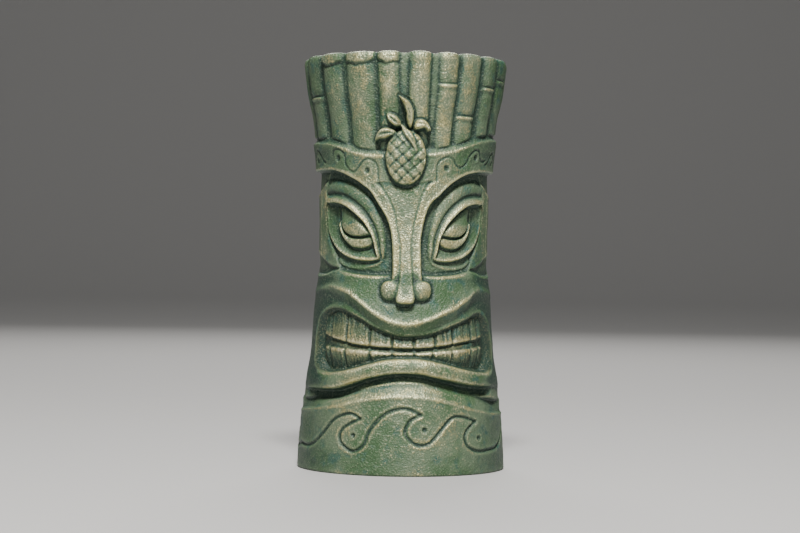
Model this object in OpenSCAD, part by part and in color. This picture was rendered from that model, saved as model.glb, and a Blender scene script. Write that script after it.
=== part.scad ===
// Tiki mug: a waisted ceramic tumbler with a carved tiki face, bamboo canes round the rim and surf waves
// round the foot. Each luted-on relief piece is its own solid, in contact with the wall behind it.
// Axes: the base stands on z = 0, the mug's axis is the z axis, and the face looks along -y.
// Curves and levels are given in millimetres for a mug 178 mm tall, and everything scales with the height.

/* [Mug] */
// Height of the mug over the cane tops
mug_height = 178; // [120:1:260]
// Clear radius inside at the lip
lip_bore = 37.4; // [36.5:0.1:38.2]
// Thickness of the floor slab at the foot
floor_thickness = 7; // [5:0.5:10]

/* [Relief] */
// How far the band, brows and strips stand proud of their usual level
relief_lift = 0; // [-0.4:0.1:0.6]
// Depth of the cut lines: waves, scroll and brow lines
line_depth = 0.9; // [0.5:0.1:1.3]
// Width of the cut lines
line_width = 1.1; // [0.8:0.1:1.4]
// Clearance between neighbouring relief pieces
seam = 0.12; // [0.06:0.02:0.2]

/* [Canes] */
// Radius over the cane tops at the rim
cane_reach = 44.3; // [43.6:0.1:45]
// How flat the canes are: their own radius over half their spacing
fullness = 1.22; // [1.1:0.02:1.3]
// Depth of the cut at each cane joint
joint_cut = 0.9; // [0.5:0.1:1.3]

/* [Hidden] */
$fn = 96;
k = mug_height / 178;
cut_y = 8;                       // the face pieces run this far behind the axis plane, up to the back panel
foot_bore = 35.2;                // radius of the open foot that the floor slab is luted into
foot_recess = 1.2;               // how far the slab is set up inside the foot
clear = 60;                      // outlines with no edge of their own run out to here, past the whole mug

// Levels, as [radius, z] lines of solids of revolution.
CORE = [[43.0, 0], [42.0, 20], [39.6, 29], [38.2, 40], [35.6, 44], [35.0, 66], [34.0, 76], [33.6, 127.6],
    [35.6, 129], [36.2, 141], [37.2, 147], [39.0, 156], [40.4, 164], [41.2, 176]];
BORE = [[foot_bore, floor_thickness], [33.6, 24], [31.4, 44], [29.8, 70], [29.4, 110], [31.0, 132], [33.6, 146],
    [36.4, 160], [lip_bore, 172], [lip_bore + 0.9, 176]];
FOOT_LEVEL = [[45.4, 0], [44.7, 11], [43.9, 19], [43.3, 26], [42.8, 34]];
STEP_LEVEL = [[43.4, 20], [42.2, 29], [40.6, 40]];
BACK_LEVEL = [[42.3, 29], [41.6, 38], [39.9, 50], [38.8, 66], [37.7, 76], [36.7, 84], [36.5, 100], [36.8, 128]];
JAW_LEVEL = [[41.8, 32], [42.2, 38], [41.6, 44], [40.2, 50]];
LIP_LEVEL = [[40.6, 36], [40.2, 44], [39.7, 50], [39.2, 58], [39.0, 66], [38.2, 72], [37.3, 77], [36.4, 85]];
LIP_SLOPE = [[42.4, 36], [41.8, 52], [42.8, 60], [43.2, 66], [41.6, 72], [39, 78], [36.4, 85]];
lip_forward = 4;                 // the muzzle's rounds are struck this far ahead of the mug's axis
TOOTH_LEVEL = [[38.4, 42], [38.9, 50], [39.0, 56], [38.4, 70]];
TEMPLE_LEVEL = [[36.5, 80], [36.4, 96], [36.9, 112], [37.3, 128]];
BROW_LEVEL = [[37.2, 84], [37.6, 100], [37.9, 126]];
RIM_LEVEL = [[36.6, 82], [36.6, 116]];
STRIP_LEVEL = [[40.4, 74], [39.4, 92], [38.8, 110], [38.6, 128]];
NOSE_LEVEL = [[44.0, 68], [43.8, 74], [41.6, 88], [39.8, 104], [38.7, 128]];
BAND_LEVEL = [[38.2, 122], [38.5, 130], [39.7, 143]];
CREST_LEVEL = [[38.4, 118], [38.7, 130], [39.8, 143], [42.2, 160]];

// Curves in the x-z plane, seen from the front.
BAND_TOP = [[-46, 142.4], [-37.4, 139.9], [-27.6, 137.3], [-19.4, 134.9], [-10, 133.9], [0, 133.7], [9, 134.6],
    [18, 136], [27, 138.9], [34, 141.6], [46, 143.4]];
BAND_FOOT = [[46, 127.8], [31, 127.8], [22, 126.8], [13, 124], [0, 123.4], [-12, 123.4], [-22, 126.8],
    [-31, 128.2], [-46, 128.2]];
PLATE_L = [[-33, 128.3], [-27.4, 126.7], [-21.9, 123.8], [-15.6, 119], [-12.3, 114.1], [-8.9, 108.9],
    [-6.2, 100.9], [-5.4, 89.6], [-5.2, 78]];
PLATE_R = [[31, 127.9], [26.3, 126.8], [20.1, 122.7], [14.3, 117], [10.4, 112.2], [8.2, 108.3], [6.8, 100.9],
    [6.6, 89.6], [6.8, 78]];
INNER_L = [[-12.1, 123.3], [-9.8, 119.6], [-6.7, 115.9], [-4.4, 108.9], [-2.6, 99.2], [-2.1, 88], [-2.5, 79],
    [-3.9, 71.2]];
INNER_R = [[11.6, 123.6], [8.9, 121.8], [6.7, 117], [4, 107.6], [2.6, 97.6], [2.7, 87], [3.6, 79], [5, 71.2]];
// The left eye is given here, and the right one is its mirror image shifted by eye_shift.
eye_shift = 1;
BROW_OUT = [[-32, 124.2], [-27.6, 123.9], [-23.8, 122.7], [-18.7, 119.2], [-14.4, 114.9], [-11.3, 108.9],
    [-9.1, 102.6], [-8.4, 96.2], [-8.2, 89]];
BROW_IN = [[-12, 90.6], [-12, 94], [-13.2, 99.4], [-16.6, 105], [-20.2, 108.9], [-23.5, 111.6], [-26.8, 113.6],
    [-30.1, 114.5], [-33.2, 114.9]];
BROW_LINE = [[-29.6, 119.6], [-25.9, 117.9], [-22.9, 115.9], [-19.7, 112.9], [-16.3, 109.3], [-13.7, 105.7],
    [-12, 102.5], [-10.8, 98]];
RIM_OUT = [[-33.3, 112.8], [-33.2, 106], [-32.3, 101], [-30.2, 96.6], [-26.4, 92.6], [-22.4, 90.6], [-18, 90],
    [-12.6, 91]];
RIM_IN = [[-13.4, 93.6], [-18, 93.2], [-21.6, 94.2], [-25.2, 96.6], [-27.9, 100.6], [-29.4, 105.9],
    [-29.8, 110.8]];
LID_SLIT = [[-26, 100.6], [-22.6, 99.3], [-19.6, 98.9], [-16.8, 99.1]];
EYE = [[-28.2, 109.8], [-27.6, 111], [-25.6, 110.4], [-21.4, 107], [-17.6, 102.6], [-14.6, 98.2], [-15.6, 96.9],
    [-20, 96.4], [-24, 97.8], [-27, 101.6], [-28.4, 106]];
CHEEK_TOP = [[-46, 84.6], [-34, 83.4], [-28.9, 85.2], [-24.7, 85], [-19.7, 83.9], [-11.4, 83.2], [-11.2, 83.2],
    [-10.6, 73], [-8, 70.4], [0.9, 69.4], [10, 70.8], [12.8, 73.4], [13.2, 83.2], [13.4, 83.2], [20, 83.9],
    [26, 85], [31, 84.6], [36, 83.4], [46, 84.6]];
MOUTH_TOP = [[37.2, 62], [34, 67.8], [28.4, 66], [21.8, 63.2], [15.3, 60.8], [8.6, 58.8], [0.5, 58.2],
    [-7.9, 60], [-13.4, 62.3], [-18.5, 65.4], [-23.2, 67.6], [-27.9, 69.5], [-32.2, 69.4], [-35.7, 67],
    [-37.2, 62.4]];
MOUTH_FOOT = [[-37.7, 47.4], [-35.6, 43], [-31.7, 42.1], [-26.5, 42.7], [-20.2, 44.5], [-13.9, 46.5],
    [-7.7, 48.1], [0, 48.7], [7.1, 48.4], [15, 46.9], [24.3, 44.5], [31.1, 42.8], [36.4, 42.4], [38, 46.4]];
JAW_FOOT = [[46, 36.2], [35.2, 36.7], [28.2, 37.5], [21.5, 39.1], [14.9, 40.5], [8.3, 41.9], [1.9, 42.4],
    [-4.4, 42.2], [-11, 41.2], [-17.4, 39.6], [-23.8, 37.2], [-30.3, 35.3], [-46, 34.8]];
STEP_TOP = [[-46, 30], [-37, 31.2], [-27, 33.4], [-17.3, 36], [-4.4, 38.6], [5.2, 38.9], [15, 37.8],
    [28.5, 34.2], [35.7, 31.6], [46, 30]];
CHIN = [[46, 24.6], [40.2, 25.1], [35.3, 26.2], [28.4, 28], [21.6, 30.1], [11.7, 32.4], [5.2, 33.1],
    [-4.4, 33.1], [-10.8, 32.4], [-17.2, 31.5], [-23.6, 29.8], [-30.1, 28], [-40.1, 26], [-46, 25.2]];
// The cut waves, from left to right, and the dots inside their curls.
WAVE_1 = [[-43.4, 11.2], [-40.6, 10.7], [-37.5, 12.2], [-33.9, 16.8], [-29.5, 22.8], [-26.6, 24.8],
    [-23.6, 25.5], [-20.6, 24.8], [-18.2, 23.6]];
WAVE_2 = [[-19.6, 22.9], [-23.5, 20.8], [-26, 19], [-26.8, 16], [-25.4, 12.4], [-21, 9.9], [-17.6, 11.4],
    [-15.1, 15.8], [-13.6, 19.5], [-8.9, 25], [-3, 27.7], [1.9, 28], [7.4, 25.7]];
WAVE_3 = [[6, 25], [2.9, 23], [0.9, 19], [2.4, 15.4], [6.6, 13], [11.2, 13.9], [14.8, 17.5], [19.8, 23.2],
    [22.8, 24.6], [25.9, 24.4], [31.4, 22.4]];
WAVE_4 = [[30.6, 21.6], [27.6, 18.7], [26.6, 15.4], [28, 11.8], [31.5, 10], [37.3, 10], [41.5, 11]];
WAVE_DOTS = [[-21, 16.5], [9.2, 19.4], [32.7, 15.3]];
// The cut scroll on the band.
SCROLL_L = [[[-31, 134.6], [-30.3, 136.6], [-28.4, 136.9], [-26.6, 135.2], [-26.1, 131.5], [-24.7, 128.4],
    [-22.9, 127.3]], [[-22.1, 127.7], [-20, 130], [-18.8, 131.8], [-16.7, 132.6], [-14.4, 131.9], [-12.5, 130],
    [-12.1, 127], [-11.6, 124.4]]];
SCROLL_R = [[[13.6, 125], [13.7, 130.2], [15.3, 132.6], [17.8, 133.9], [20.6, 132.8], [21.6, 130.7],
    [23.6, 129.6], [25.6, 130.8], [26.7, 132.8], [28, 135.4], [29.8, 137.2], [31.6, 136.4], [32.2, 133.8]]];
SCROLL_DOTS = [[-16.8, 127.5], [-29.2, 133], [17.3, 128.9], [30.2, 134]];
// Leaves: the two edges of each, root to tip.
LEAVES = [
    [[[-4.4, 143.4], [-8, 144.9], [-12.6, 143.6], [-14.6, 139.6]], [[-4.4, 143.4], [-8, 141.4], [-12, 140.8],
        [-14.6, 139.6]]],
    [[[-2.6, 147.2], [-5, 150.8], [-8.7, 151.9]], [[-2.6, 147.2], [-6.8, 147.4], [-8.7, 151.9]]],
    [[[0.4, 146.4], [-1, 151.6], [-2.9, 158.1]], [[0.4, 146.4], [3.4, 152], [-2.9, 158.1]]],
    [[[4.4, 144.6], [6.4, 148.8], [10.6, 145.3]], [[4.4, 144.6], [7, 143.6], [10.6, 145.3]]],
    [[[-2.9, 146.6], [1.4, 143.8], [3.8, 136.4]], [[-2.9, 146.6], [-1.4, 140.6], [3.8, 136.4]]]];
// Canes: [direction in degrees from the front, width in degrees, heights of its cut joints].
FRONT_CANES = [[-70, 20.4, [160]], [-49, 19.6, []], [-28.4, 20.2, []], [-11.2, 13.4, []], [7.3, 13.4, []],
    [24.4, 13.4, [164.6]], [40, 16.8, [152.2]], [57.2, 15.4, [164.4]], [74.6, 18.4, [169]]];
BACK_CANE_JOINTS = [[], [158], [167], [], [150], [], [162], [], [155], [168], []];
CANES = concat(FRONT_CANES, [for (i = [0 : 10]) [92.6 + 17.7 * i, 17.4, BACK_CANE_JOINTS[i]]]);
TOOTH_GAPS = [-30.3, -23.9, -14.3, -4.9, 4.1, 13.1, 20.6, 27.6];

function two(i) = i < 10 ? str("0", i) : str(i);

// A smooth curve through the given points, with n steps between each two.
function between(a, b, c, d, t) = 0.5 * (2 * b + (c - a) * t + (2 * a - 5 * b + 4 * c - d) * t * t
    + (3 * b - a - 3 * c + d) * t * t * t);
function smooth(p, n = 3) = concat([for (i = [0 : len(p) - 2], j = [0 : n - 1])
    between(p[max(i - 1, 0)], p[i], p[i + 1], p[min(i + 2, len(p) - 1)], j / n)], [p[len(p) - 1]]);
function back_to_front(p) = [for (i = [len(p) - 1 : -1 : 0]) p[i]];
function mirrored(p) = [for (q = p) [eye_shift - q[0], q[1]]];
function lifted(p, d) = [for (q = p) [q[0] + d, q[1]]];
function raised(p, d) = [for (q = p) [q[0], q[1] + d]];
// The outline of a cut line w wide along a smooth curve.
function normal_at(p, i) = let (v = p[min(i + 1, len(p) - 1)] - p[max(i - 1, 0)]) [-v[1], v[0]] / norm(v);
function stroke(p, w) = concat([for (i = [0 : len(p) - 1]) p[i] + normal_at(p, i) * w / 2],
    [for (i = [len(p) - 1 : -1 : 0]) p[i] - normal_at(p, i) * w / 2]);

// An outline in the x-z plane, carried forward from just ahead of the axis plane or from a little behind it.
module ahead(p) translate([0, -3, 0]) rotate([90, 0, 0]) linear_extrude(height = 60) polygon(p);
module front(p) translate([0, cut_y, 0]) rotate([90, 0, 0]) linear_extrude(height = 70) polygon(p);
// Everything above the headband's lower edge, front and back.
module above_band_foot() translate([0, 0, -seam])
    through(concat(smooth(BAND_FOOT), [[-clear, 170], [clear, 170]]));
// An outline carried right through, front and back.
module through(p) translate([0, 70, 0]) rotate([90, 0, 0]) linear_extrude(height = 140) polygon(p);
// A solid of revolution inside a level line.
module inside(level) {
    n = len(level) - 1;
    rotate_extrude() polygon(concat([[0, level[0][1]]], level, [[0, level[n][1]]]));
}
// The shell between the wall and a level.
module shell(level) difference() { inside(level); inside(CORE); }
// What stands outside a level, for cuts that go only so deep.
module outside(level) {
    n = len(level) - 1;
    rotate_extrude() polygon(concat(level, [[60, level[n][1]], [60, level[0][1]]]));
}
module cut_line(p, level) intersection() {
    front(stroke(smooth(p, 2), line_width));
    outside(lifted(level, -line_depth));
}
module cut_dot(c, r, level) intersection() {
    translate([c[0], 0, c[1]]) rotate([90, 0, 0]) cylinder(h = 60, r = r);
    outside(lifted(level, -line_depth));
}

// Turned tumbler: the deepest surface of the relief outside, the drinking bore inside.
module mug_wall() color("DarkSeaGreen") scale(k) difference() {
    inside(CORE);
    inside(BORE);
    translate([0, 0, -1]) cylinder(h = floor_thickness + 1.01, r = foot_bore);
}
// Floor slab, luted into the open foot of the wall.
module mug_floor() color("DarkSlateGray") scale(k) {
    translate([0, 0, foot_recess]) cylinder(h = floor_thickness - foot_recess, r = foot_bore);
}
module waves() {
    for (w = [WAVE_1, WAVE_2, WAVE_3, WAVE_4]) cut_line(w, FOOT_LEVEL);
    for (c = WAVE_DOTS) cut_dot(c, 1.3, FOOT_LEVEL);
}
module wave_band() color("SeaGreen") scale(k) difference() {
    intersection() {
        shell(FOOT_LEVEL);
        through(concat([[-clear, -1]], back_to_front(smooth(CHIN)), [[clear, -1]]));
    }
    waves();
    rotate([0, 0, 180]) waves();
}
module chin_step() color("MediumSeaGreen") scale(k) intersection() {
    shell(STEP_LEVEL);
    through(concat(smooth(STEP_TOP), raised(smooth(CHIN), seam)));
}
module back_panel() color("SeaGreen") scale(k) difference() {
    shell(BACK_LEVEL);
    translate([-clear, -clear + cut_y + seam - 0.001, 0]) cube([2 * clear, clear, 200]);
    translate([0, 0, seam]) through(concat(smooth(STEP_TOP), [[clear, 0], [-clear, 0]]));
    above_band_foot();
}
// Jaw under the mouth, from the lower lip's edge down to the deep line over the chin.
module lower_lip() color("DarkSeaGreen") scale(k) intersection() {
    shell(JAW_LEVEL);
    front(concat(smooth(MOUTH_FOOT), [[38.6, 43.2], [46, 43.2]], smooth(JAW_FOOT), [[-46, 44.2], [-38.6, 44.2]]));
}
// Upper lip, cheeks and the outer corners of the mouth.
module muzzle() color("DarkSeaGreen") scale(k) intersection() {
    shell(LIP_SLOPE);
    translate([0, -lip_forward, 0]) inside(LIP_LEVEL);
    front(concat(smooth(CHEEK_TOP, 1), [[46, 43.4], [38.8, 43.4], [38.2, 47]], smooth(MOUTH_TOP),
        [[-38, 47.6], [-38.8, 44.4], [-46, 44.4]]));
}
module tooth_row(edge, cut_edge) difference() {
    intersection() { shell(TOOTH_LEVEL); front(edge); }
    for (x = TOOTH_GAPS) intersection() {
        translate([x - 0.35, -clear, 40]) cube([0.7, clear, 32]);
        outside(lifted(TOOTH_LEVEL, -1));
    }
}
module upper_teeth() color("DarkKhaki") scale(k) tooth_row(concat([[-33, 57.4], [-26, 55.6], [-14.3, 53.7],
    [0, 53], [13, 53.6], [26, 55.4], [33, 57]], raised(smooth(MOUTH_TOP), -seam * 2)));
module lower_teeth() color("DarkKhaki") scale(k) tooth_row(concat(back_to_front([[-33.6, 52.9], [-24, 52.4],
    [-14.3, 51.4], [0, 51.1], [14, 51.5], [25.6, 52.2], [33.6, 53.4]]), [[-35.6, 47]],
    raised([for (q = smooth(MOUTH_FOOT)) if (abs(q[0]) < 35) q], seam * 2), [[35.6, 47]]));

// Raised strips that run from the headband down both sides of the nose.
module brow_strip(outer, inner) difference() {
    intersection() {
        shell(lifted(STRIP_LEVEL, relief_lift));
        ahead(concat([[2 * outer[0][0] / 3, 131]], smooth(outer),
            back_to_front([for (q = smooth(inner)) if (q[1] > 78.3) q])));
    }
    above_band_foot();
    for (s = concat(SCROLL_L, SCROLL_R)) cut_line(s, BAND_LEVEL);
}
module brow_strip_left() color("CadetBlue") scale(k) brow_strip(PLATE_L, lifted(INNER_L, -seam));
module brow_strip_right() color("CadetBlue") scale(k) brow_strip(PLATE_R, lifted(INNER_R, seam));
module nose_strip() color("DarkSeaGreen") scale(k) difference() {
    intersection() {
        shell(lifted(NOSE_LEVEL, relief_lift));
        front(concat(back_to_front(smooth(INNER_L)), smooth(INNER_R)));
    }
    above_band_foot();
}
// A nose wing: a ball seated on the wall, trimmed to its outline beside the nose.
module nostril(x, p) difference() {
    intersection() {
        ahead(p);
        translate([x, -38.2, 75]) sphere(r = 5.9);
    }
    inside(CORE);
}
module nostril_left() color("DarkSeaGreen") scale(k) nostril(-5.4, [[-2.8, 78.1], [-5.2, 78.1], [-8.4, 79],
    [-10.4, 77.2], [-10.6, 74.6], [-9.4, 72.4], [-7, 71.3], [-4.3, 71.3]]);
module nostril_right() color("DarkSeaGreen") scale(k) nostril(6.9, [[3.9, 78.1], [6.8, 78.1], [10, 79],
    [12, 77.2], [12.2, 74.6], [11, 72.4], [8.6, 71.3], [5.3, 71.3]]);

// Temple plate from the eye rim round the side of the head.
module temple(side) {
    p = smooth([[-31.6, 126.6], [-33.9, 119], [-34.2, 112.6], [-34, 106], [-33, 99.4], [-31.2, 95], [-28.9, 91.4],
        [-27, 87.2], [-29.6, 86.6], [-33, 88.5], [-35.6, 91.8], [-46, 92]]);
    q = concat(p, [[-46, 127.4], [-33, 127.4]]);
    intersection() { shell(TEMPLE_LEVEL); front(side < 0 ? q : mirrored(q)); }
}
module temple_left() color("SeaGreen") scale(k) temple(-1);
module temple_right() color("SeaGreen") scale(k) temple(1);
// Heavy brow: its lower edge is the upper lid, and a cut line follows its sweep.
module brow(side) {
    p = concat(smooth(BROW_OUT), smooth(BROW_IN));
    difference() {
        intersection() { shell(lifted(BROW_LEVEL, relief_lift)); ahead(side < 0 ? p : mirrored(p)); }
        cut_line(side < 0 ? BROW_LINE : mirrored(BROW_LINE), BROW_LEVEL);
    }
}
module brow_left() color("CadetBlue") scale(k) brow(-1);
module brow_right() color("CadetBlue") scale(k) brow(1);
module eye_rim(side) {
    p = concat(smooth(RIM_OUT), smooth(RIM_IN));
    intersection() { shell(RIM_LEVEL); ahead(side < 0 ? p : mirrored(p)); }
}
module eye_rim_left() color("MediumSeaGreen") scale(k) eye_rim(-1);
module eye_rim_right() color("MediumSeaGreen") scale(k) eye_rim(1);
// Eye dome: a flat ball cap under the brow, parted by the slit of the lids.
module eyeball(side) difference() {
    intersection() {
        front(side < 0 ? smooth(EYE) : mirrored(smooth(EYE)));
        translate([side < 0 ? -12.4 : 12.4 + eye_shift, -17, 103]) sphere(r = 20);
    }
    inside(CORE);
    intersection() {
        front(stroke(side < 0 ? LID_SLIT : mirrored(LID_SLIT), 0.6));
        outside([[34.4, 90], [34.4, 115]]);
    }
}
module eyeball_left() color("DarkKhaki") scale(k) eyeball(-1);
module eyeball_right() color("DarkKhaki") scale(k) eyeball(1);

module headband() color("OliveDrab") scale(k) difference() {
    intersection() {
        shell(lifted(BAND_LEVEL, relief_lift));
        through(concat(smooth(BAND_TOP), smooth(BAND_FOOT)));
    }
    for (s = concat(SCROLL_L, SCROLL_R)) {
        cut_line(s, BAND_LEVEL);
        rotate([0, 0, 180]) cut_line(s, BAND_LEVEL);
    }
    for (c = SCROLL_DOTS) {
        cut_dot(c, 1.4, BAND_LEVEL);
        rotate([0, 0, 180]) cut_dot(c, 1.4, BAND_LEVEL);
    }
}
// Pineapple badge: an oval pillow with a diagonal lattice, lying on the band.
fruit = [-0.4, -22.6, 133];      // middle of the ball that the pillow is cut from
fruit_ball = 21.6;
fruit_oval = [9.3, 11.6];
module fruit_cuts(turn, pitch) translate([fruit[0], 0, fruit[2]]) rotate([0, turn, 0])
    for (i = [-3 : 3]) translate([i * pitch - 0.35, -clear, -16]) cube([0.7, 17.6, 32]);
module pineapple() color("DarkKhaki") scale(k) difference() {
    intersection() {
        front([for (a = [0 : 9 : 351]) [fruit[0] + fruit_oval[0] * cos(a), fruit[2] + fruit_oval[1] * sin(a)]]);
        translate(fruit) sphere(r = fruit_ball);
    }
    inside(lifted(CREST_LEVEL, relief_lift));
    fruit_cuts(41, 4.1);
    fruit_cuts(-49, 3.9);
}
module leaf(i) difference() {
    intersection() {
        front(concat(smooth(LEAVES[i][0]), back_to_front(smooth(LEAVES[i][1]))));
        difference() {
            inside(lifted(CREST_LEVEL, i == 4 ? 5.2 : 2.4));
            inside(lifted(CREST_LEVEL, relief_lift));
        }
    }
    if (i != 4) front(LEAVES[4][0]);
    translate(fruit) sphere(r = fruit_ball + (i == 4 ? 0 : 0.05));
}
module leaf_1() color("OliveDrab") scale(k) leaf(0);
module leaf_2() color("OliveDrab") scale(k) leaf(1);
module leaf_3() color("OliveDrab") scale(k) leaf(2);
module leaf_4() color("OliveDrab") scale(k) leaf(3);
module leaf_5() color("OliveDrab") scale(k) leaf(4);

// One bamboo cane: a leaning, slightly tapered rod with a domed end and cut joints, seated on the wall.
cane_foot = 38.6;                // radius over the canes where they start, behind the band
cane_start = 130;
cane_height = 47.7;
module cane(i) color(i % 2 ? "DarkSeaGreen" : "SeaGreen") scale(k) {
    c = CANES[i];
    half = c[1] / 2;
    r1 = cane_foot * sin(half) * fullness;
    r2 = (cane_reach - 0.6) * sin(half) * fullness;
    h = cane_height;
    lean = atan(((cane_reach - r2) - (cane_foot - r1)) / h);
    rings = [for (z = c[2]) [let (up = z - cane_start, r = r1 + (r2 - r1) * up / h)
        for (d = [[0, -0.5], [-joint_cut, -0.1], [-joint_cut, 0.1], [0, 0.5]]) [r + d[0], up + d[1]]]];
    side = len(rings) > 0 ? rings[0] : [];
    rotate([0, 0, c[0] - 90]) difference() {
        intersection() {
            translate([cane_foot - r1, 0, cane_start]) rotate([0, lean, 0]) rotate_extrude()
                polygon(concat([[0, 0], [r1, 0]], side, [[r2, h - 1.6], [r2 * 0.93, h - 0.5], [r2 * 0.7, h + 0.5],
                    [r2 * 0.35, h + 1.1], [0, h + 1.3]]));
            rotate([0, 0, -half]) rotate_extrude(angle = c[1]) translate([30, 126]) square([30, 56]);
        }
        inside(CORE);
        inside([[41.2, 175.9], [41.2, 182]]);
        rotate([0, 0, 90 - c[0]]) translate([0, 0, seam])
            through(concat(smooth(BAND_TOP), [[clear, 110], [-clear, 110]]));
    }
}

mug_wall();
mug_floor();
wave_band();
chin_step();
back_panel();
lower_lip();
muzzle();
upper_teeth();
lower_teeth();
brow_strip_left();
brow_strip_right();
nose_strip();
nostril_left();
nostril_right();
temple_left();
temple_right();
brow_left();
brow_right();
eye_rim_left();
eye_rim_right();
eyeball_left();
eyeball_right();
headband();
pineapple();
leaf_1();
leaf_2();
leaf_3();
leaf_4();
leaf_5();
for (i = [1 : 20]) cane(i - 1);
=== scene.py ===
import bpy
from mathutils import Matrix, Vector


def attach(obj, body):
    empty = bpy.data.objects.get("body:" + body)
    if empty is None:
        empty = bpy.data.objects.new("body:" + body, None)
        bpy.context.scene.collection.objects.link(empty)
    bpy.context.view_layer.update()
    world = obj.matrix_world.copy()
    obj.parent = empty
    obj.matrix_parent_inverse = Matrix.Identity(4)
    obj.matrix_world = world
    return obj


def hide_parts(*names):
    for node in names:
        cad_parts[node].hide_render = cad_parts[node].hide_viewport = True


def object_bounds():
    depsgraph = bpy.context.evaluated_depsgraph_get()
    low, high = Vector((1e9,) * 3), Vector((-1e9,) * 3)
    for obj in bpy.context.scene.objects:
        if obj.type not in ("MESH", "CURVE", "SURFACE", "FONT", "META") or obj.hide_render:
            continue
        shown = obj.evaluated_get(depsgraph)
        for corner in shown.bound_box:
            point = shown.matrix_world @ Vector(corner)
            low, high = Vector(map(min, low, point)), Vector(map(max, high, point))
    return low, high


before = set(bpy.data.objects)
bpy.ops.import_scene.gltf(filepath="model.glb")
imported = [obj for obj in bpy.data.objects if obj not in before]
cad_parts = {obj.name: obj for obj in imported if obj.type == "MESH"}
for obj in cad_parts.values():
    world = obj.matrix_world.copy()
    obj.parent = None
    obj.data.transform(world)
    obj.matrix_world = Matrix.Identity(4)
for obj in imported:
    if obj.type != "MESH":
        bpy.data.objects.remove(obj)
CAD_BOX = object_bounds()
"""Tiki mug: a cast and patinated ceramic tumbler with a modelled face, bamboo canes, a pineapple badge and waves.

The whole outside is one relief, held as a radius over a lattice of directions and heights. Each sub-assembly
models its own part of that relief and claims its own piece of it, so neighbouring pieces meet along shared edges.
Lengths are millimetres until a piece is placed. Along the wall, a place is (a, z): a is the distance round the
mug from the middle of the face, measured at UNROLL_RADIUS, and z is the height.
"""

import logging
import math
from dataclasses import dataclass
from enum import Enum

import bmesh
import bpy
import numpy as np
from mathutils import Matrix, Vector

logging.basicConfig(level=logging.INFO, format="%(message)s")
log = logging.getLogger("tiki_mug")

MM = 0.001
MUG_HEIGHT = (CAD_BOX[1].z - CAD_BOX[0].z) / MM
UNROLL_RADIUS = 40.0
ROUND_MUG = 2 * math.pi * UNROLL_RADIUS
FACE_HALF_TURN = math.radians(100.4)
Points = tuple[tuple[float, float], ...]
# A value at every place of the lattice.
Field = np.ndarray

# The wall under the relief and the drinking bore, as (height, radius).
WALL_OUTSIDE = ((0, 43.0), (20, 42.0), (29, 39.6), (40, 38.2), (44, 35.6), (66, 35.0), (76, 34.0), (127.6, 33.6),
                (129, 35.6), (141, 36.2), (147, 37.2), (156, 39.0), (164, 40.4), (176, 41.2))
BORE = ((7, 35.2), (24, 33.6), (44, 31.4), (70, 29.8), (110, 29.4), (132, 31.0), (146, 33.6), (160, 36.4),
        (172, 37.6), (176, 38.2))


class Slot(Enum):
    """The record's material slots."""

    CLAY = "patina_clay"
    TRIM = "patina_trim"
    TOOTH = "tooth_patina"
    WALL = "mug_wall"


# ---------------------------------------------------------------- curves and soft steps


def soft_step(x: Field) -> Field:
    """A smooth rise from 0 to 1 as x goes from 0 to 1."""
    t = np.clip(x, 0.0, 1.0)
    return t * t * (3.0 - 2.0 * t)


def bell(x: Field, width: float) -> Field:
    """A smooth bump: 1 where x is 0, and next to nothing from twice the width on."""
    return np.exp(-((x / width) ** 2))


def round_over(x: Field, width: float) -> Field:
    """A quarter-round rise from 0 to 1 as x goes from 0 to the width."""
    t = np.clip(x / width, 0, 1)
    return np.sqrt(t * (2 - t))


def smooth(points: Points, closed: bool = False, steps: int = 6) -> np.ndarray:
    """A smooth curve through a few points.

    Args:
        points: the places that the curve passes; a place given twice makes a corner.
        closed: whether it runs back to its start.
        steps: how many short stretches each pair of points is divided into.

    Returns:
        The curve's own points, one row each.
    """
    p = np.array(points, float)
    n = len(p)
    t = np.linspace(0.0, 1.0, steps, endpoint=False)[:, None]
    stretches = []
    for i in range(n if closed else n - 1):
        before = p[(i - 1) % n] if closed else p[max(i - 1, 0)]
        here, there = p[i], p[(i + 1) % n]
        after = p[(i + 2) % n] if closed else p[min(i + 2, n - 1)]
        stretches.append(0.5 * (2 * here + (there - before) * t + (2 * before - 5 * here + 4 * there - after) * t**2
                                + (3 * here - before - 3 * there + after) * t**3))
    if not closed:
        stretches.append(p[-1:])
    return np.concatenate(stretches)


def other_side(points: Points, scale: float = 0.93, shift: float = 2.2) -> Points:
    """The right-hand copy of a left-hand curve, as the hand-modelled face has it: a little narrower and moved over."""
    return tuple((-scale * a + shift, z) for a, z in points)


def spread(values: Field, sigma: float) -> Field:
    """Smears the values by a bell, running round the mug without a seam.

    Args:
        values: what is smeared.
        sigma: the bell's spread, in rows and columns.

    Returns:
        The smeared values.
    """
    reach = max(1, int(3 * sigma))
    shares = np.exp(-0.5 * (np.arange(-reach, reach + 1) / sigma) ** 2)
    shares /= shares.sum()
    across = np.zeros_like(values)
    for step, share in zip(range(-reach, reach + 1), shares, strict=True):
        across += share * np.roll(values, step, axis=1)
    padded = np.pad(across, ((reach, reach), (0, 0)), mode="edge")
    smeared = np.zeros_like(values)
    for step, share in enumerate(shares):
        smeared += share * padded[step:step + len(values)]
    return smeared


# ---------------------------------------------------------------- the relief


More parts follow.
